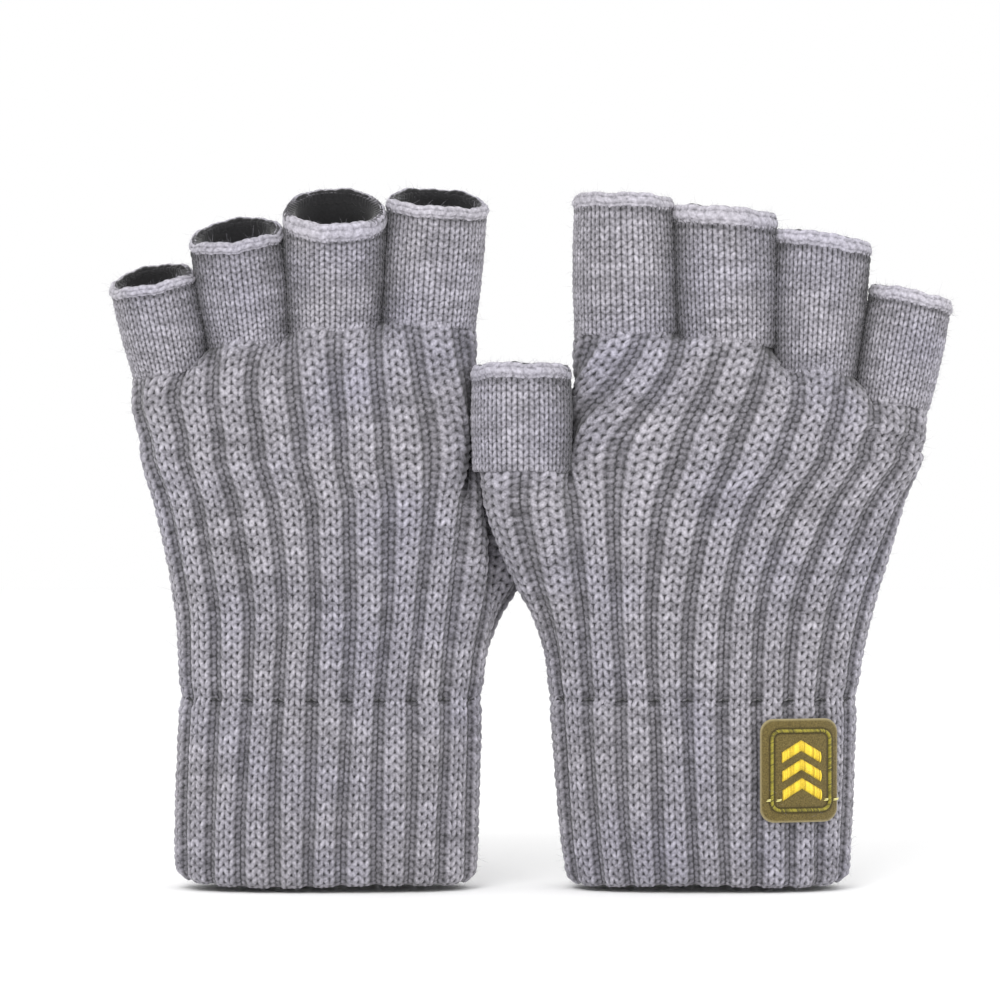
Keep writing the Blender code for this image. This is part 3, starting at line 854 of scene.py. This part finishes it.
def build_elastic(glove, material):
    """The wrist elastic: a thin ring wound with covering yarn."""
    name = f"{glove.name}_wrist_elastic"
    low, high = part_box(name)
    radius = (high.z - low.z) / 2
    sides, turns = 10, 90
    path, outward = cuff_outline(glove, name, [(high.z + low.z) / 2], OUTLINE_POINTS)
    centre = path[0] - outward[0] * radius
    rows = []
    for side in range(sides):
        angle = 2 * math.pi * side / sides
        wound = 0.85 + 0.15 * np.abs(np.sin(math.pi * even(OUTLINE_POINTS) * turns * 2 + angle))
        swing = outward[0] * math.cos(angle) + np.array([0, 0, 1.0]) * math.sin(angle)
        rows.append(centre + swing * radius * wound[:, None])
    base = np.array(rows).reshape(-1, 3)
    quads = grid_quads(closed_index(sides, OUTLINE_POINTS))
    flat = np.zeros(len(base))
    inside = np.zeros(len(base), bool)
    name = f"{name}_wound"
    return knit_piece(name, glove, base, quads, (flat, flat + 0.7), inside, flat, material, 40, 41)


# ---------------------------------------------------------------- stubs and rims


def stub_axes(glove, finger):
    """Fine base, middle and top rings of a stub, with the stance of its open edge."""
    columns = STUB_LEGS * LEG_COLUMNS
    rings = np.array([fine_ring(ring, columns) for ring in tube_rings(glove, finger)])
    middles = rings.mean(1)
    axis = (middles[2] - middles[1]) / np.linalg.norm(middles[2] - middles[1])
    away = rings[2] - middles[2]
    sideways = away[:, 0] / np.abs(away[:, 0]).max()
    palmwards = 0.5 + 0.5 * away[:, 1] / np.abs(away[:, 1]).max()
    front, back, _ = OPEN_EDGE[glove.name][finger]
    lift = (front + (back - front) * palmwards) * MM
    lift = lift - SIDE_SAG * sideways**4
    rings[2] += axis * lift[:, None]
    rings[1] += axis * lift[:, None] * 0.25
    return rings


def neighbour_swell(rings, finger):
    """How much each column of a stub swells towards the stubs beside it, from 0 to 1."""
    away = rings[1] - rings[1].mean(0)
    sideways = away[:, 0] / np.abs(away[:, 0]).max()
    thumb_side, little_side = NEIGHBOURS[finger]
    return np.where(sideways < 0, thumb_side, little_side) * sideways**4


def along_stub(rings, shares):
    """Rings at shares of the way from base to top, on the curve through the three."""
    s = np.asarray(shares)[:, None, None]
    base, middle, top = rings
    return (
        base * (2 * s - 1) * (s - 1)
        + middle * 4 * s * (1 - s)
        + top * s * (2 * s - 1)
    )


def build_stub(glove, finger, material):
    """A stub of plain stocking stitch with its inner side, and the middles of its three rings."""
    rings = stub_axes(glove, finger)
    length = np.linalg.norm(np.diff(rings.mean(1), axis=0), axis=1).sum()
    sink = 2.5 * MM / length
    rise = 0.6 * MM / length
    shares = np.arange(-sink, 1.0 + rise, STUB_ROW_STEP / length)
    outer = along_stub(rings, shares)
    inner = along_stub(rings, np.linspace(1.0 + rise, -sink, 16))
    away = inner - inner.mean(1, keepdims=True)
    away /= np.linalg.norm(away, axis=2, keepdims=True)
    inner = inner - away * FABRIC
    rows = np.concatenate([outer, inner])
    shape = rows.shape[:2]
    inside = np.zeros(shape, bool)
    inside[len(outer) :] = True
    inside = inside.ravel()
    legs = spread(np.arange(shape[1]) / LEG_COLUMNS, shape)
    courses = np.concatenate([shares, np.linspace(1, 0, len(inner))]) * length
    seed = 50 + FINGERS.index(finger) + (10 if glove.side > 0 else 0)
    tables = new_tables(seed)
    course = spread(courses[:, None], shape) / STUB_COURSE
    height, painted_light_and_felt_edge, stitch = plain_relief(legs, course, tables)
    share = spread(courses[:, None] / length, shape)
    swell = STUB_SWELL * (0.35 + 0.65 * np.sin(math.pi * np.clip(share, 0, 1)))
    beside = spread(neighbour_swell(rings, finger), shape)
    swell = swell + NEIGHBOUR_SWELL * beside
    height = np.where(inside, 0.0, height + swell)
    # Painted shade on the sides of the stub that face its neighbours, in the creases between them.
    painted_light_and_felt_edge = painted_light_and_felt_edge * (1.0 - CREASE_SHADE * beside)
    # Painted shadow in a narrow band just under the rim.
    below_top = (1.0 - share) * length
    rim_foot = OPEN_EDGE[glove.name][finger][2] * MM - RIM_STAND + 0.4 * MM
    painted_light_and_felt_edge = painted_light_and_felt_edge * (1.0 - 0.5 * np.exp(-(((below_top - rim_foot) / (0.8 * MM)) ** 2)))
    tone = marl_tone(tables[1], legs * 1.5 * MM, stitch)
    base = rows.reshape(-1, 3)
    quads = grid_quads(closed_index(*shape))
    if not facing_out(rings):
        quads = quads[:, ::-1]
    name = f"{glove.name}_{finger}_knit"
    relief = (height, painted_light_and_felt_edge)
    piece = knit_piece(name, glove, base, quads, relief, inside, tone, material, 1300, seed)
    return piece, glove.world(rings.mean(1))


def facing_out(rings):
    """Whether a grid of rising rings has its faces pointing out."""
    base, middle = rings[0], rings[1]
    across = base[1] - base[0]
    rise = middle[0] - base[0]
    return np.cross(across, rise) @ (base[0] - base.mean(0)) > 0


def build_rim(glove, finger, material):
    """A rolled cast-off edge: a lip that curls over the stub, with rows of chained yarn."""
    rings = stub_axes(glove, finger)
    top = rings[2]
    axis = top - along_stub(rings, [0.9])[0]
    axis = axis / np.linalg.norm(axis, axis=1, keepdims=True)
    away = top - top.mean(0)
    away /= np.linalg.norm(away, axis=1, keepdims=True)
    half_tall = OPEN_EDGE[glove.name][finger][2] * MM / 2
    beside = neighbour_swell(rings, finger) * NEIGHBOUR_SWELL * 0.7
    columns = top.shape[0]
    course = even(columns) * STUB_LEGS * 0.5
    seed = 70 + FINGERS.index(finger) + (10 if glove.side > 0 else 0)
    tables = new_tables(seed)
    turn = 2 * math.pi * even(columns)
    sway = 0.22 * MM * np.sin(turn * 5 + seed) + 0.16 * MM * np.sin(turn * 11 + 2 * seed)
    palmwards = 0.5 + 0.5 * away[:, 1] / np.abs(away[:, 1]).max()
    rows, painted_light_and_felt_edge, inner, tone = [], [], [], []
    for share in even(RIM_ROWS):
        wide, high = math.cos(2 * math.pi * share), math.sin(2 * math.pi * share)
        chain = (share * RIM_CHAINS + 0.5) % RIM_CHAINS
        leg = math.floor(chain)
        slant = 1.0 if leg % 2 == 0 else -1.0
        yarn, _ = leg_relief(np.full(columns, chain - leg - 0.5), course, slant, RIM_GRAIN)
        bulge = 0.45 * MM * (yarn - 0.4)
        out = wide * (RIM_HALF_WIDTH + bulge) - RIM_HALF_WIDTH + 0.85 * MM + beside
        up = high * (half_tall + bulge) - half_tall + RIM_STAND + sway
        rows.append(top + away * out[:, None] + axis * up[:, None])
        # Painted shade: the rim's inner side, reaching further round at the back, is painted dark, and
        # the gaps between the chains darker.
        outer_side = smooth((wide + 0.9 - 0.55 * palmwards) / 0.5)
        painted_light_and_felt_edge.append((0.4 + 0.6 * yarn) * outer_side)
        inner.append(outer_side < 0.6)
        marl = marl_tone(tables[1], even(columns) * 80 * MM, np.full(columns, leg))
        tone.append(marl * 0.5 + 0.35)
    base = np.array(rows).reshape(-1, 3)
    quads = grid_quads(closed_index(RIM_ROWS, columns))
    if not facing_out(rings):
        quads = quads[:, ::-1]
    name = f"{glove.name}_{finger}_castoff"
    relief = (np.zeros(len(base)), np.concatenate(painted_light_and_felt_edge))
    inner, tone = np.concatenate(inner), np.concatenate(tone)
    return knit_piece(name, glove, base, quads, relief, inner, tone, material, 520, seed)


# ---------------------------------------------------------------- the sewn patch


class PatchFace:
    """The front face of the patch's CAD backing, read by rays along the depth."""

    def __init__(self):
        self.tree = tree_of("patch_backing")
        low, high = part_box("patch_backing")
        self.centre = np.array([(low.x + high.x) / 2, (low.z + high.z) / 2])
        self.half = np.array([(high.x - low.x) / 2, (high.z - low.z) / 2])

    def point(self, x, z):
        """The face's point and outward normal at a place."""
        inner = self.half * 0.985
        px = float(np.clip(x, self.centre[0] - inner[0], self.centre[0] + inner[0]))
        pz = float(np.clip(z, self.centre[1] - inner[1], self.centre[1] + inner[1]))
        pull = 1.0
        for _ in range(30):
            qx = self.centre[0] + (px - self.centre[0]) * pull
            qz = self.centre[1] + (pz - self.centre[1]) * pull
            hit, normal, _, _ = self.tree.ray_cast(Vector((qx, -0.2, qz)), Vector((0, 1, 0)))
            if hit is not None and normal.y < -0.3:
                break
            pull -= 0.01
        return np.array([x, hit.y, z]), np.array(normal)


def rounded_outline(half, corner, count):
    """A rounded rectangle round the origin, as evenly spaced points."""
    points = []
    for quarter, (sx, sz) in enumerate(((1, 1), (-1, 1), (-1, -1), (1, -1))):
        middle = np.array([sx * (half[0] - corner), sz * (half[1] - corner)])
        for step in range(13):
            angle = math.pi / 2 * (quarter + step / 12)
            arc = np.array([math.cos(angle), math.sin(angle)]) * corner
            points.append([*(middle + arc), 0.0])
    return resample(np.array(points), even(count))[:, :2]


def build_felt(face, material):
    """The felt backing: a soft, rounded slab that follows the cuff."""
    count = 200
    thick = 1.1 * MM
    outline = rounded_outline(face.half, 3.8 * MM, count)
    rings = [(share, 0.0) for share in np.linspace(0.02, 0.975, 38)]
    rings += [(0.99, 0.1 * MM), (1.0, 0.3 * MM), (1.0, 0.8 * MM), (0.985, 1.05 * MM)]
    rings += [(share, thick) for share in np.linspace(0.95, 0.02, 6)]
    rng = np.random.default_rng(90)
    rows, edge = [], []
    for share, depth in rings:
        for x, z in outline * share + face.centre:
            point, normal = face.point(x, z)
            lump = rng.normal() * 0.03 * MM
            rows.append(point - normal * (depth + lump))
            edge.append(smooth((share - 0.955) / 0.035))
    points = np.array(rows)
    index = np.arange(len(points)).reshape(len(rings), count)
    index = np.concatenate([index, index[:, :1]], 1)
    quads = grid_quads(index)
    for ring, turn in ((index[0, :-1], -1), (index[-1, :-1], 1)):
        fan = [
            [ring[k], ring[k + 1], ring[count - 2 - k], ring[count - 1 - k]]
            for k in range(count // 2 - 1)
        ]
        quads = np.vstack([quads, np.array(fan)[:, ::turn]])
    normal = vertex_normals(points, quads)
    if (normal[:count] @ np.array([0.0, 1.0, 0.0])).mean() > 0:
        quads, normal = quads[:, ::-1], -normal
    hair, hair_quads, _ = fibres(points, normal, 2600, 91, 0.7 * MM, 0.018 * MM)
    painted_light_and_felt_edge = np.concatenate([np.array(edge), np.zeros(len(hair))])
    # The felt's tone holds only the painted shade beside the border.
    tone = np.concatenate([beside_border(points), np.zeros(len(hair))])
    quads = np.vstack([quads, hair_quads + len(points)])
    points = np.vstack([points, hair])
    return mesh_piece("patch_felt", points, quads, painted_light_and_felt_edge, tone, material)


def thread(start, end, normal, radius, arch):
    """One closed strand of thread that arches off the surface between two points."""
    sides, rings = 8, 9
    along = end - start
    direction = along / np.linalg.norm(along)
    side = np.cross(direction, normal)
    side /= np.linalg.norm(side)
    points = []
    for share in np.linspace(0, 1, rings):
        belly = math.sin(math.pi * share)
        centre = start + along * share + normal * (arch * belly - 0.15 * MM)
        width = radius * (0.45 + 0.55 * min(1.0, belly * 2.2))
        for turn in range(sides):
            angle = 2 * math.pi * turn / sides
            swing = side * math.cos(angle) + normal * math.sin(angle)
            points.append(centre + swing * width)
    quads = []
    for ring in range(rings - 1):
        for turn in range(sides):
            after = (turn + 1) % sides
            low, high = ring * sides, (ring + 1) * sides
            quads.append([low + turn, low + after, high + after, high + turn])
    last = (rings - 1) * sides
    for cap in ((0, 7, 6, 1), (1, 6, 5, 2), (2, 5, 4, 3)):
        quads += [cap, [last + corner for corner in cap[::-1]]]
    return np.array(points), np.array(quads)


def sew(name, face, stitches, size, material):
    """A piece of many threads: each stitch is a pair of places on the patch's face."""
    radius, arch, lift = (length * MM for length in size)
    points, quads, tone = [], [], []
    rng = np.random.default_rng(len(stitches))
    total = 0
    for first, second in stitches:
        start, normal = face.point(*first)
        end, end_normal = face.point(*second)
        mean = normal + end_normal
        mean /= np.linalg.norm(mean)
        start, end = start + mean * lift, end + mean * lift
        strand, faces = thread(start, end, mean, radius, arch * rng.uniform(0.85, 1.15))
        points.append(strand)
        quads.append(faces + total)
        tone.append(np.full(len(strand), rng.normal() * 0.35))
        total += len(strand)
    tone = np.concatenate(tone)
    points, quads = np.vstack(points), np.vstack(quads)
    return mesh_piece(name, points, quads, np.ones(total), tone, material)


def border_path():
    """The middle line of the stitched border, a rounded rectangle."""
    low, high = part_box("patch_border")
    half = np.array([(high.x - low.x) / 2, (high.z - low.z) / 2]) - 0.6 * MM
    centre = np.array([(high.x + low.x) / 2, (high.z + low.z) / 2])
    return rounded_outline(half, 2.4 * MM, 190) + centre


def beside_border(points):
    """How deep the shade is where the border's stitches pull into the felt, from 0 to 1."""
    path = border_path()
    apart = np.linalg.norm(points[:, None, (0, 2)] - path[None], axis=2).min(1)
    return 0.9 * np.exp(-(((apart - 0.66 * MM) / (0.3 * MM)) ** 2))


def border_stitches():
    """Short stitches side by side along a rounded rectangle."""
    path = border_path()
    ahead = np.roll(path, -1, axis=0) - np.roll(path, 1, axis=0)
    ahead /= np.linalg.norm(ahead, axis=1, keepdims=True)
    across = np.stack([ahead[:, 1], -ahead[:, 0]], 1)
    reach = across * 0.46 * MM + ahead * 0.32 * MM
    return [(p - r, p + r) for p, r in zip(path, reach)]


def chevron_stitches(node):
    """Upright satin stitches that fill one chevron from arm to arm."""
    low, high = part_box(node)
    middle, half = (low.x + high.x) / 2, (high.x - low.x) / 2
    rise = 3.4 * MM
    band = (high.z - low.z) - rise
    stitches = []
    for x in np.linspace(-half + 0.15 * MM, half - 0.15 * MM, 34):
        foot = low.z + rise * (1 - abs(x) / half)
        stitches.append(((middle + x, foot), (middle + x, foot + band)))
    return stitches


def tack_stitches(node):
    """Short loose strands of one tack thread, which goes under the border and out again."""
    low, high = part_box(node)
    width, middle = high.x - low.x, (low.z + high.z) / 2
    stitches = []
    for k, (start, end) in enumerate(((0.0, 0.32), (0.05, 0.3), (0.62, 0.97), (0.66, 1.0))):
        z = middle + (k % 2 - 0.5) * 0.35 * MM
        first = (low.x + start * width, z - 0.15 * MM)
        stitches.append((first, (low.x + end * width, z + 0.1 * MM)))
    return stitches


# ---------------------------------------------------------------- materials


def new_material(name, roughness, sheen):
    """A material with its shader's constant values set on the shader itself."""
    material = bpy.data.materials.new(name)
    material.use_nodes = True
    shader = material.node_tree.nodes["Principled BSDF"]
    shader.inputs["Roughness"].default_value = roughness
    shader.inputs["Sheen Weight"].default_value = sheen
    shader.inputs["Sheen Roughness"].default_value = 0.6
    shader.inputs["Specular IOR Level"].default_value = 0.15
    return material, shader


def shader_node(material, kind, **values):
    """A node with some of its inputs set by name."""
    made = material.node_tree.nodes.new(kind)
    for label, value in values.items():
        made.inputs[label.replace("_", " ")].default_value = value
    return made


def link(material, source, target):
    """Joins an output socket to an input socket."""
    material.node_tree.links.new(source, target)


def attribute(material, label):
    """The value of a surface attribute."""
    made = material.node_tree.nodes.new("ShaderNodeAttribute")
    made.attribute_name = label
    return made.outputs["Fac"]


def noise(material, scale, detail=2.0, stretch=(1, 1, 1)):
    """Noise in the object's own coordinates, with feature sizes in metres."""
    place = material.node_tree.nodes.new("ShaderNodeTexCoord")
    mapping = material.node_tree.nodes.new("ShaderNodeMapping")
    mapping.inputs["Scale"].default_value = stretch
    link(material, place.outputs["Object"], mapping.inputs["Vector"])
    made = shader_node(material, "ShaderNodeTexNoise", Scale=1.0 / scale, Detail=detail)
    link(material, mapping.outputs["Vector"], made.inputs["Vector"])
    return made.outputs["Fac"]


def math_node(material, operation, first, second):
    """A math node of two sockets or numbers."""
    made = material.node_tree.nodes.new("ShaderNodeMath")
    made.operation = operation
    for socket, value in zip(made.inputs, (first, second)):
        if isinstance(value, (int, float)):
            socket.default_value = value
        else:
            link(material, value, socket)
    return made.outputs[0]


def about(material, value, middle, strength):
    """How far a value is from its middle, times a strength."""
    from_middle = math_node(material, "SUBTRACT", value, middle)
    return math_node(material, "MULTIPLY", from_middle, strength)


def bump(material, shader, height, strength, distance):
    """Fine relief on the shader's normal, from a height."""
    made = shader_node(material, "ShaderNodeBump", Strength=strength, Distance=distance)
    link(material, height, made.inputs["Height"])
    link(material, made.outputs["Normal"], shader.inputs["Normal"])


def ramp(material, factor, stops):
    """A colour ramp; each stop is a place and a linear colour."""
    made = material.node_tree.nodes.new("ShaderNodeValToRGB")
    elements = made.color_ramp.elements
    while len(elements) < len(stops):
        elements.new(0.5)
    for element, (place, colour) in zip(elements, stops):
        element.position = place
        element.color = (*colour, 1.0)
    link(material, factor, made.inputs["Fac"])
    return made.outputs["Color"]


def mix(material, kind, factor, first, second):
    """A colour mix of two colour sockets or colours."""
    made = material.node_tree.nodes.new("ShaderNodeMix")
    made.data_type = "RGBA"
    made.blend_type = kind
    pairs = ((made.inputs[0], factor), (made.inputs[6], first), (made.inputs[7], second))
    for socket, value in pairs:
        if isinstance(value, (int, float)):
            socket.default_value = value
        elif isinstance(value, tuple):
            socket.default_value = (*value, 1.0)
        else:
            link(material, value, socket)
    return made.outputs[2]


def grey(level):
    """A linear grey from a display grey of 0 to 255, with a slight violet cast."""
    linear = (level / 255.0) ** 2.2
    return linear * 0.998, linear * 0.955, linear * 1.06


def yarn_material(name, dark, middle, pale, shade):
    """Brushed marl yarn: its tone along each course, flecks, broad patches and fuzz, with painted shade
    multiplied in.
    """
    material, shader = new_material(name, 0.95, 0.25)
    tone = math_node(material, "MULTIPLY", attribute(material, "tone"), 0.08)
    flecks = about(material, noise(material, 0.8 * MM, 3.0), 0.5, 0.95)
    streaks = about(material, noise(material, 5.0 * MM, 2.0, (0.45, 0.45, 1.6)), 0.5, 0.5)
    level = math_node(material, "ADD", tone, math_node(material, "ADD", flecks, streaks))
    level = math_node(material, "ADD", level, 0.55)
    colour = ramp(material, level, ((0.1, dark), (0.5, middle), (0.95, pale)))
    cloud = about(material, noise(material, 26 * MM, 1.5), 0.42, 1.6)
    colour = mix(material, "MULTIPLY", cloud, colour, (0.84, 0.85, 0.97))
    # Painted shade: the colour is multiplied down where the painted light value is low.
    shades = ((0.05, (shade[0],) * 3), (0.5, (shade[1],) * 3), (0.95, (1.0,) * 3))
    depth = ramp(material, attribute(material, "painted_light_and_felt_edge"), shades)
    colour = mix(material, "MULTIPLY", 1.0, colour, depth)
    link(material, colour, shader.inputs["Base Color"])
    bump(material, shader, noise(material, 0.16 * MM, 3.0, (1.0, 1.0, 0.6)), 0.55, 0.12 * MM)
    return material


def felt_material():
    """Olive felt with matted fibres, a shade beside the border and a paler cut edge."""
    material, shader = new_material("felt", 0.95, 0.2)
    olives = ((0.25, (0.054, 0.039, 0.01)), (0.55, (0.13, 0.097, 0.028)), (0.8, (0.205, 0.158, 0.055)))
    colour = ramp(material, noise(material, 0.35 * MM, 4.0), olives)
    # Painted shade beside the border, from the tone value.
    colour = mix(material, "MIX", attribute(material, "tone"), colour, (0.03, 0.022, 0.006))
    edge = math_node(material, "MULTIPLY", attribute(material, "painted_light_and_felt_edge"), 0.55)
    colour = mix(material, "MIX", edge, colour, (0.42, 0.36, 0.2))
    link(material, colour, shader.inputs["Base Color"])
    bump(material, shader, noise(material, 0.2 * MM, 4.0), 0.7, 0.15 * MM)
    return material


def thread_material(name, dark, pale, roughness):
    """Twisted embroidery thread with a soft gloss and fine strands."""
    material, shader = new_material(name, roughness, 0.1)
    shader.inputs["Specular IOR Level"].default_value = 0.4
    tone = math_node(material, "MULTIPLY", attribute(material, "tone"), 0.7)
    strand = noise(material, 0.22 * MM, 2.0)
    level = math_node(material, "ADD", math_node(material, "ADD", tone, strand), 0.05)
    colour = ramp(material, level, ((0.2, dark), (0.75, pale)))
    link(material, colour, shader.inputs["Base Color"])
    bump(material, shader, strand, 0.5, 0.05 * MM)
    return material


# ---------------------------------------------------------------- the stage


def build_stage():
    """A pale floor, soft light from the front and above, and the camera."""
    scene = bpy.context.scene
    scene.view_settings.view_transform = "Standard"
    world = bpy.data.worlds.new("studio")
    world.use_nodes = True
    background = world.node_tree.nodes["Background"]
    background.inputs["Color"].default_value = (1.0, 1.0, 1.0, 1.0)
    background.inputs["Strength"].default_value = 1.0
    scene.world = world

    bpy.ops.mesh.primitive_plane_add(size=8.0, location=(0, 0, -0.0005))
    floor = bpy.context.object
    floor.name = "floor"
    material, shader = new_material("floor_white", 1.0, 0.0)
    shader.inputs["Base Color"].default_value = (1.0, 1.0, 1.0, 1.0)
    floor.data.materials.append(material)

    for label, place, size, power in (
        ("key", (-0.35, -1.1, 0.95), 0.7, 9.0),
        ("fill", (0.6, -1.0, 0.35), 0.6, 3.0),
    ):
        light = bpy.data.lights.new(label, "AREA")
        light.size = size
        light.energy = power
        lamp = bpy.data.objects.new(label, light)
        lamp.location = place
        aim = Vector((0.0, 0.0, 0.1)) - Vector(place)
        lamp.rotation_euler = aim.to_track_quat("-Z", "Y").to_euler()
        scene.collection.objects.link(lamp)

    low, high = cad_box
    camera = bpy.data.cameras.new("camera")
    camera.sensor_width = SENSOR_WIDTH
    camera.lens = SENSOR_WIDTH * CAMERA_DISTANCE / SHOT_WIDTH
    eye = bpy.data.objects.new("camera", camera)
    middle = (low.x + high.x) / 2
    eye.location = (middle - CAMERA_ASIDE, -CAMERA_DISTANCE, CAMERA_HEIGHT)
    eye.rotation_euler = (math.pi / 2, 0.0, 0.0)
    scene.collection.objects.link(eye)
    scene.camera = eye


# ---------------------------------------------------------------- the gloves


def build_glove(glove, yarn, edge, lining, elastic):
    """One glove's pieces: each rides on its body, except the stubs, which stay where they are built."""
    body = f"{glove.name}_glove"
    for make, material, nodes, slot in (
        (build_hand, yarn, "hand_shell", "knit"),
        (build_cuff, yarn, "cuff_outer", "knit"),
        (build_lining, lining, "cuff_lining", "knit_lining"),
        (build_elastic, elastic, "wrist_elastic", "elastic"),
    ):
        piece = make(glove, material)
        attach(piece, body)
        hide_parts(f"{glove.name}_{nodes}")
    for finger in FINGERS:
        stub, centres = build_stub(glove, finger, yarn)
        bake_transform(stub)
        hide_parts(f"{glove.name}_{finger}_tube")
        rim = build_rim(glove, finger, edge)
        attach(rim, f"{glove.name}_{finger}")
        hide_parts(f"{glove.name}_{finger}_rim")


def build_patch():
    """The felt patch with its stitched border, three chevrons and two tacks."""
    face = PatchFace()
    felt = build_felt(face, felt_material())
    olive = thread_material("border_thread", (0.08, 0.066, 0.005), (0.31, 0.265, 0.02), 0.5)
    yellow = thread_material("motif_thread", (0.5, 0.33, 0.01), (0.88, 0.66, 0.04), 0.42)
    pale = thread_material("tack_thread", (0.6, 0.52, 0.1), (0.85, 0.8, 0.35), 0.5)
    border = sew("patch_border_stitch", face, border_stitches(), BORDER_THREAD, olive)
    rows = [(felt, "patch_backing", "felt"), (border, "patch_border", "border_thread")]
    for level in ("lower", "middle", "upper"):
        label = f"patch_chevron_{level}"
        satin = sew(f"{label}_satin", face, chevron_stitches(label), SATIN_THREAD, yellow)
        rows.append((satin, label, "motif_thread"))
    for end in ("inner", "outer"):
        label = f"patch_tack_{end}"
        strands = sew(f"{label}_strands", face, tack_stitches(label), TACK_THREAD, pale)
        rows.append((strands, label, "tack_thread"))
    for piece, stands_for, slot in rows:
        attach(piece, "right_glove")
        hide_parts(stands_for)


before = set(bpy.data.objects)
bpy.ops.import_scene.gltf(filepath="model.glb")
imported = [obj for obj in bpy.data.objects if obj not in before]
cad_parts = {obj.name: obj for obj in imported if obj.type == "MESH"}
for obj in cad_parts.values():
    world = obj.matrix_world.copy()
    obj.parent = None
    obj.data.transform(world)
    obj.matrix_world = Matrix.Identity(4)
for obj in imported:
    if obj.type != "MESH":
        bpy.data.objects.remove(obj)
cad_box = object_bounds()
build_stage()
# The last pair of each yarn sets its painted shade: the colour's factor where the painted light is
# lowest, and at its middle.
YARN = yarn_material("marl_yarn", grey(60), grey(146), grey(204), (0.03, 0.56))
EDGE = yarn_material("marl_edge", grey(90), grey(160), grey(208), (0.03, 0.66))
LINING = yarn_material("marl_lining", grey(60), grey(125), grey(175), (0.16, 0.5))
ELASTIC = yarn_material("elastic_cover", grey(120), grey(170), grey(200), (0.3, 0.6))
for side_name, side_sign in (("right", 1.0), ("left", -1.0)):
    build_glove(Glove(side_name, side_sign), YARN, EDGE, LINING, ELASTIC)
build_patch()
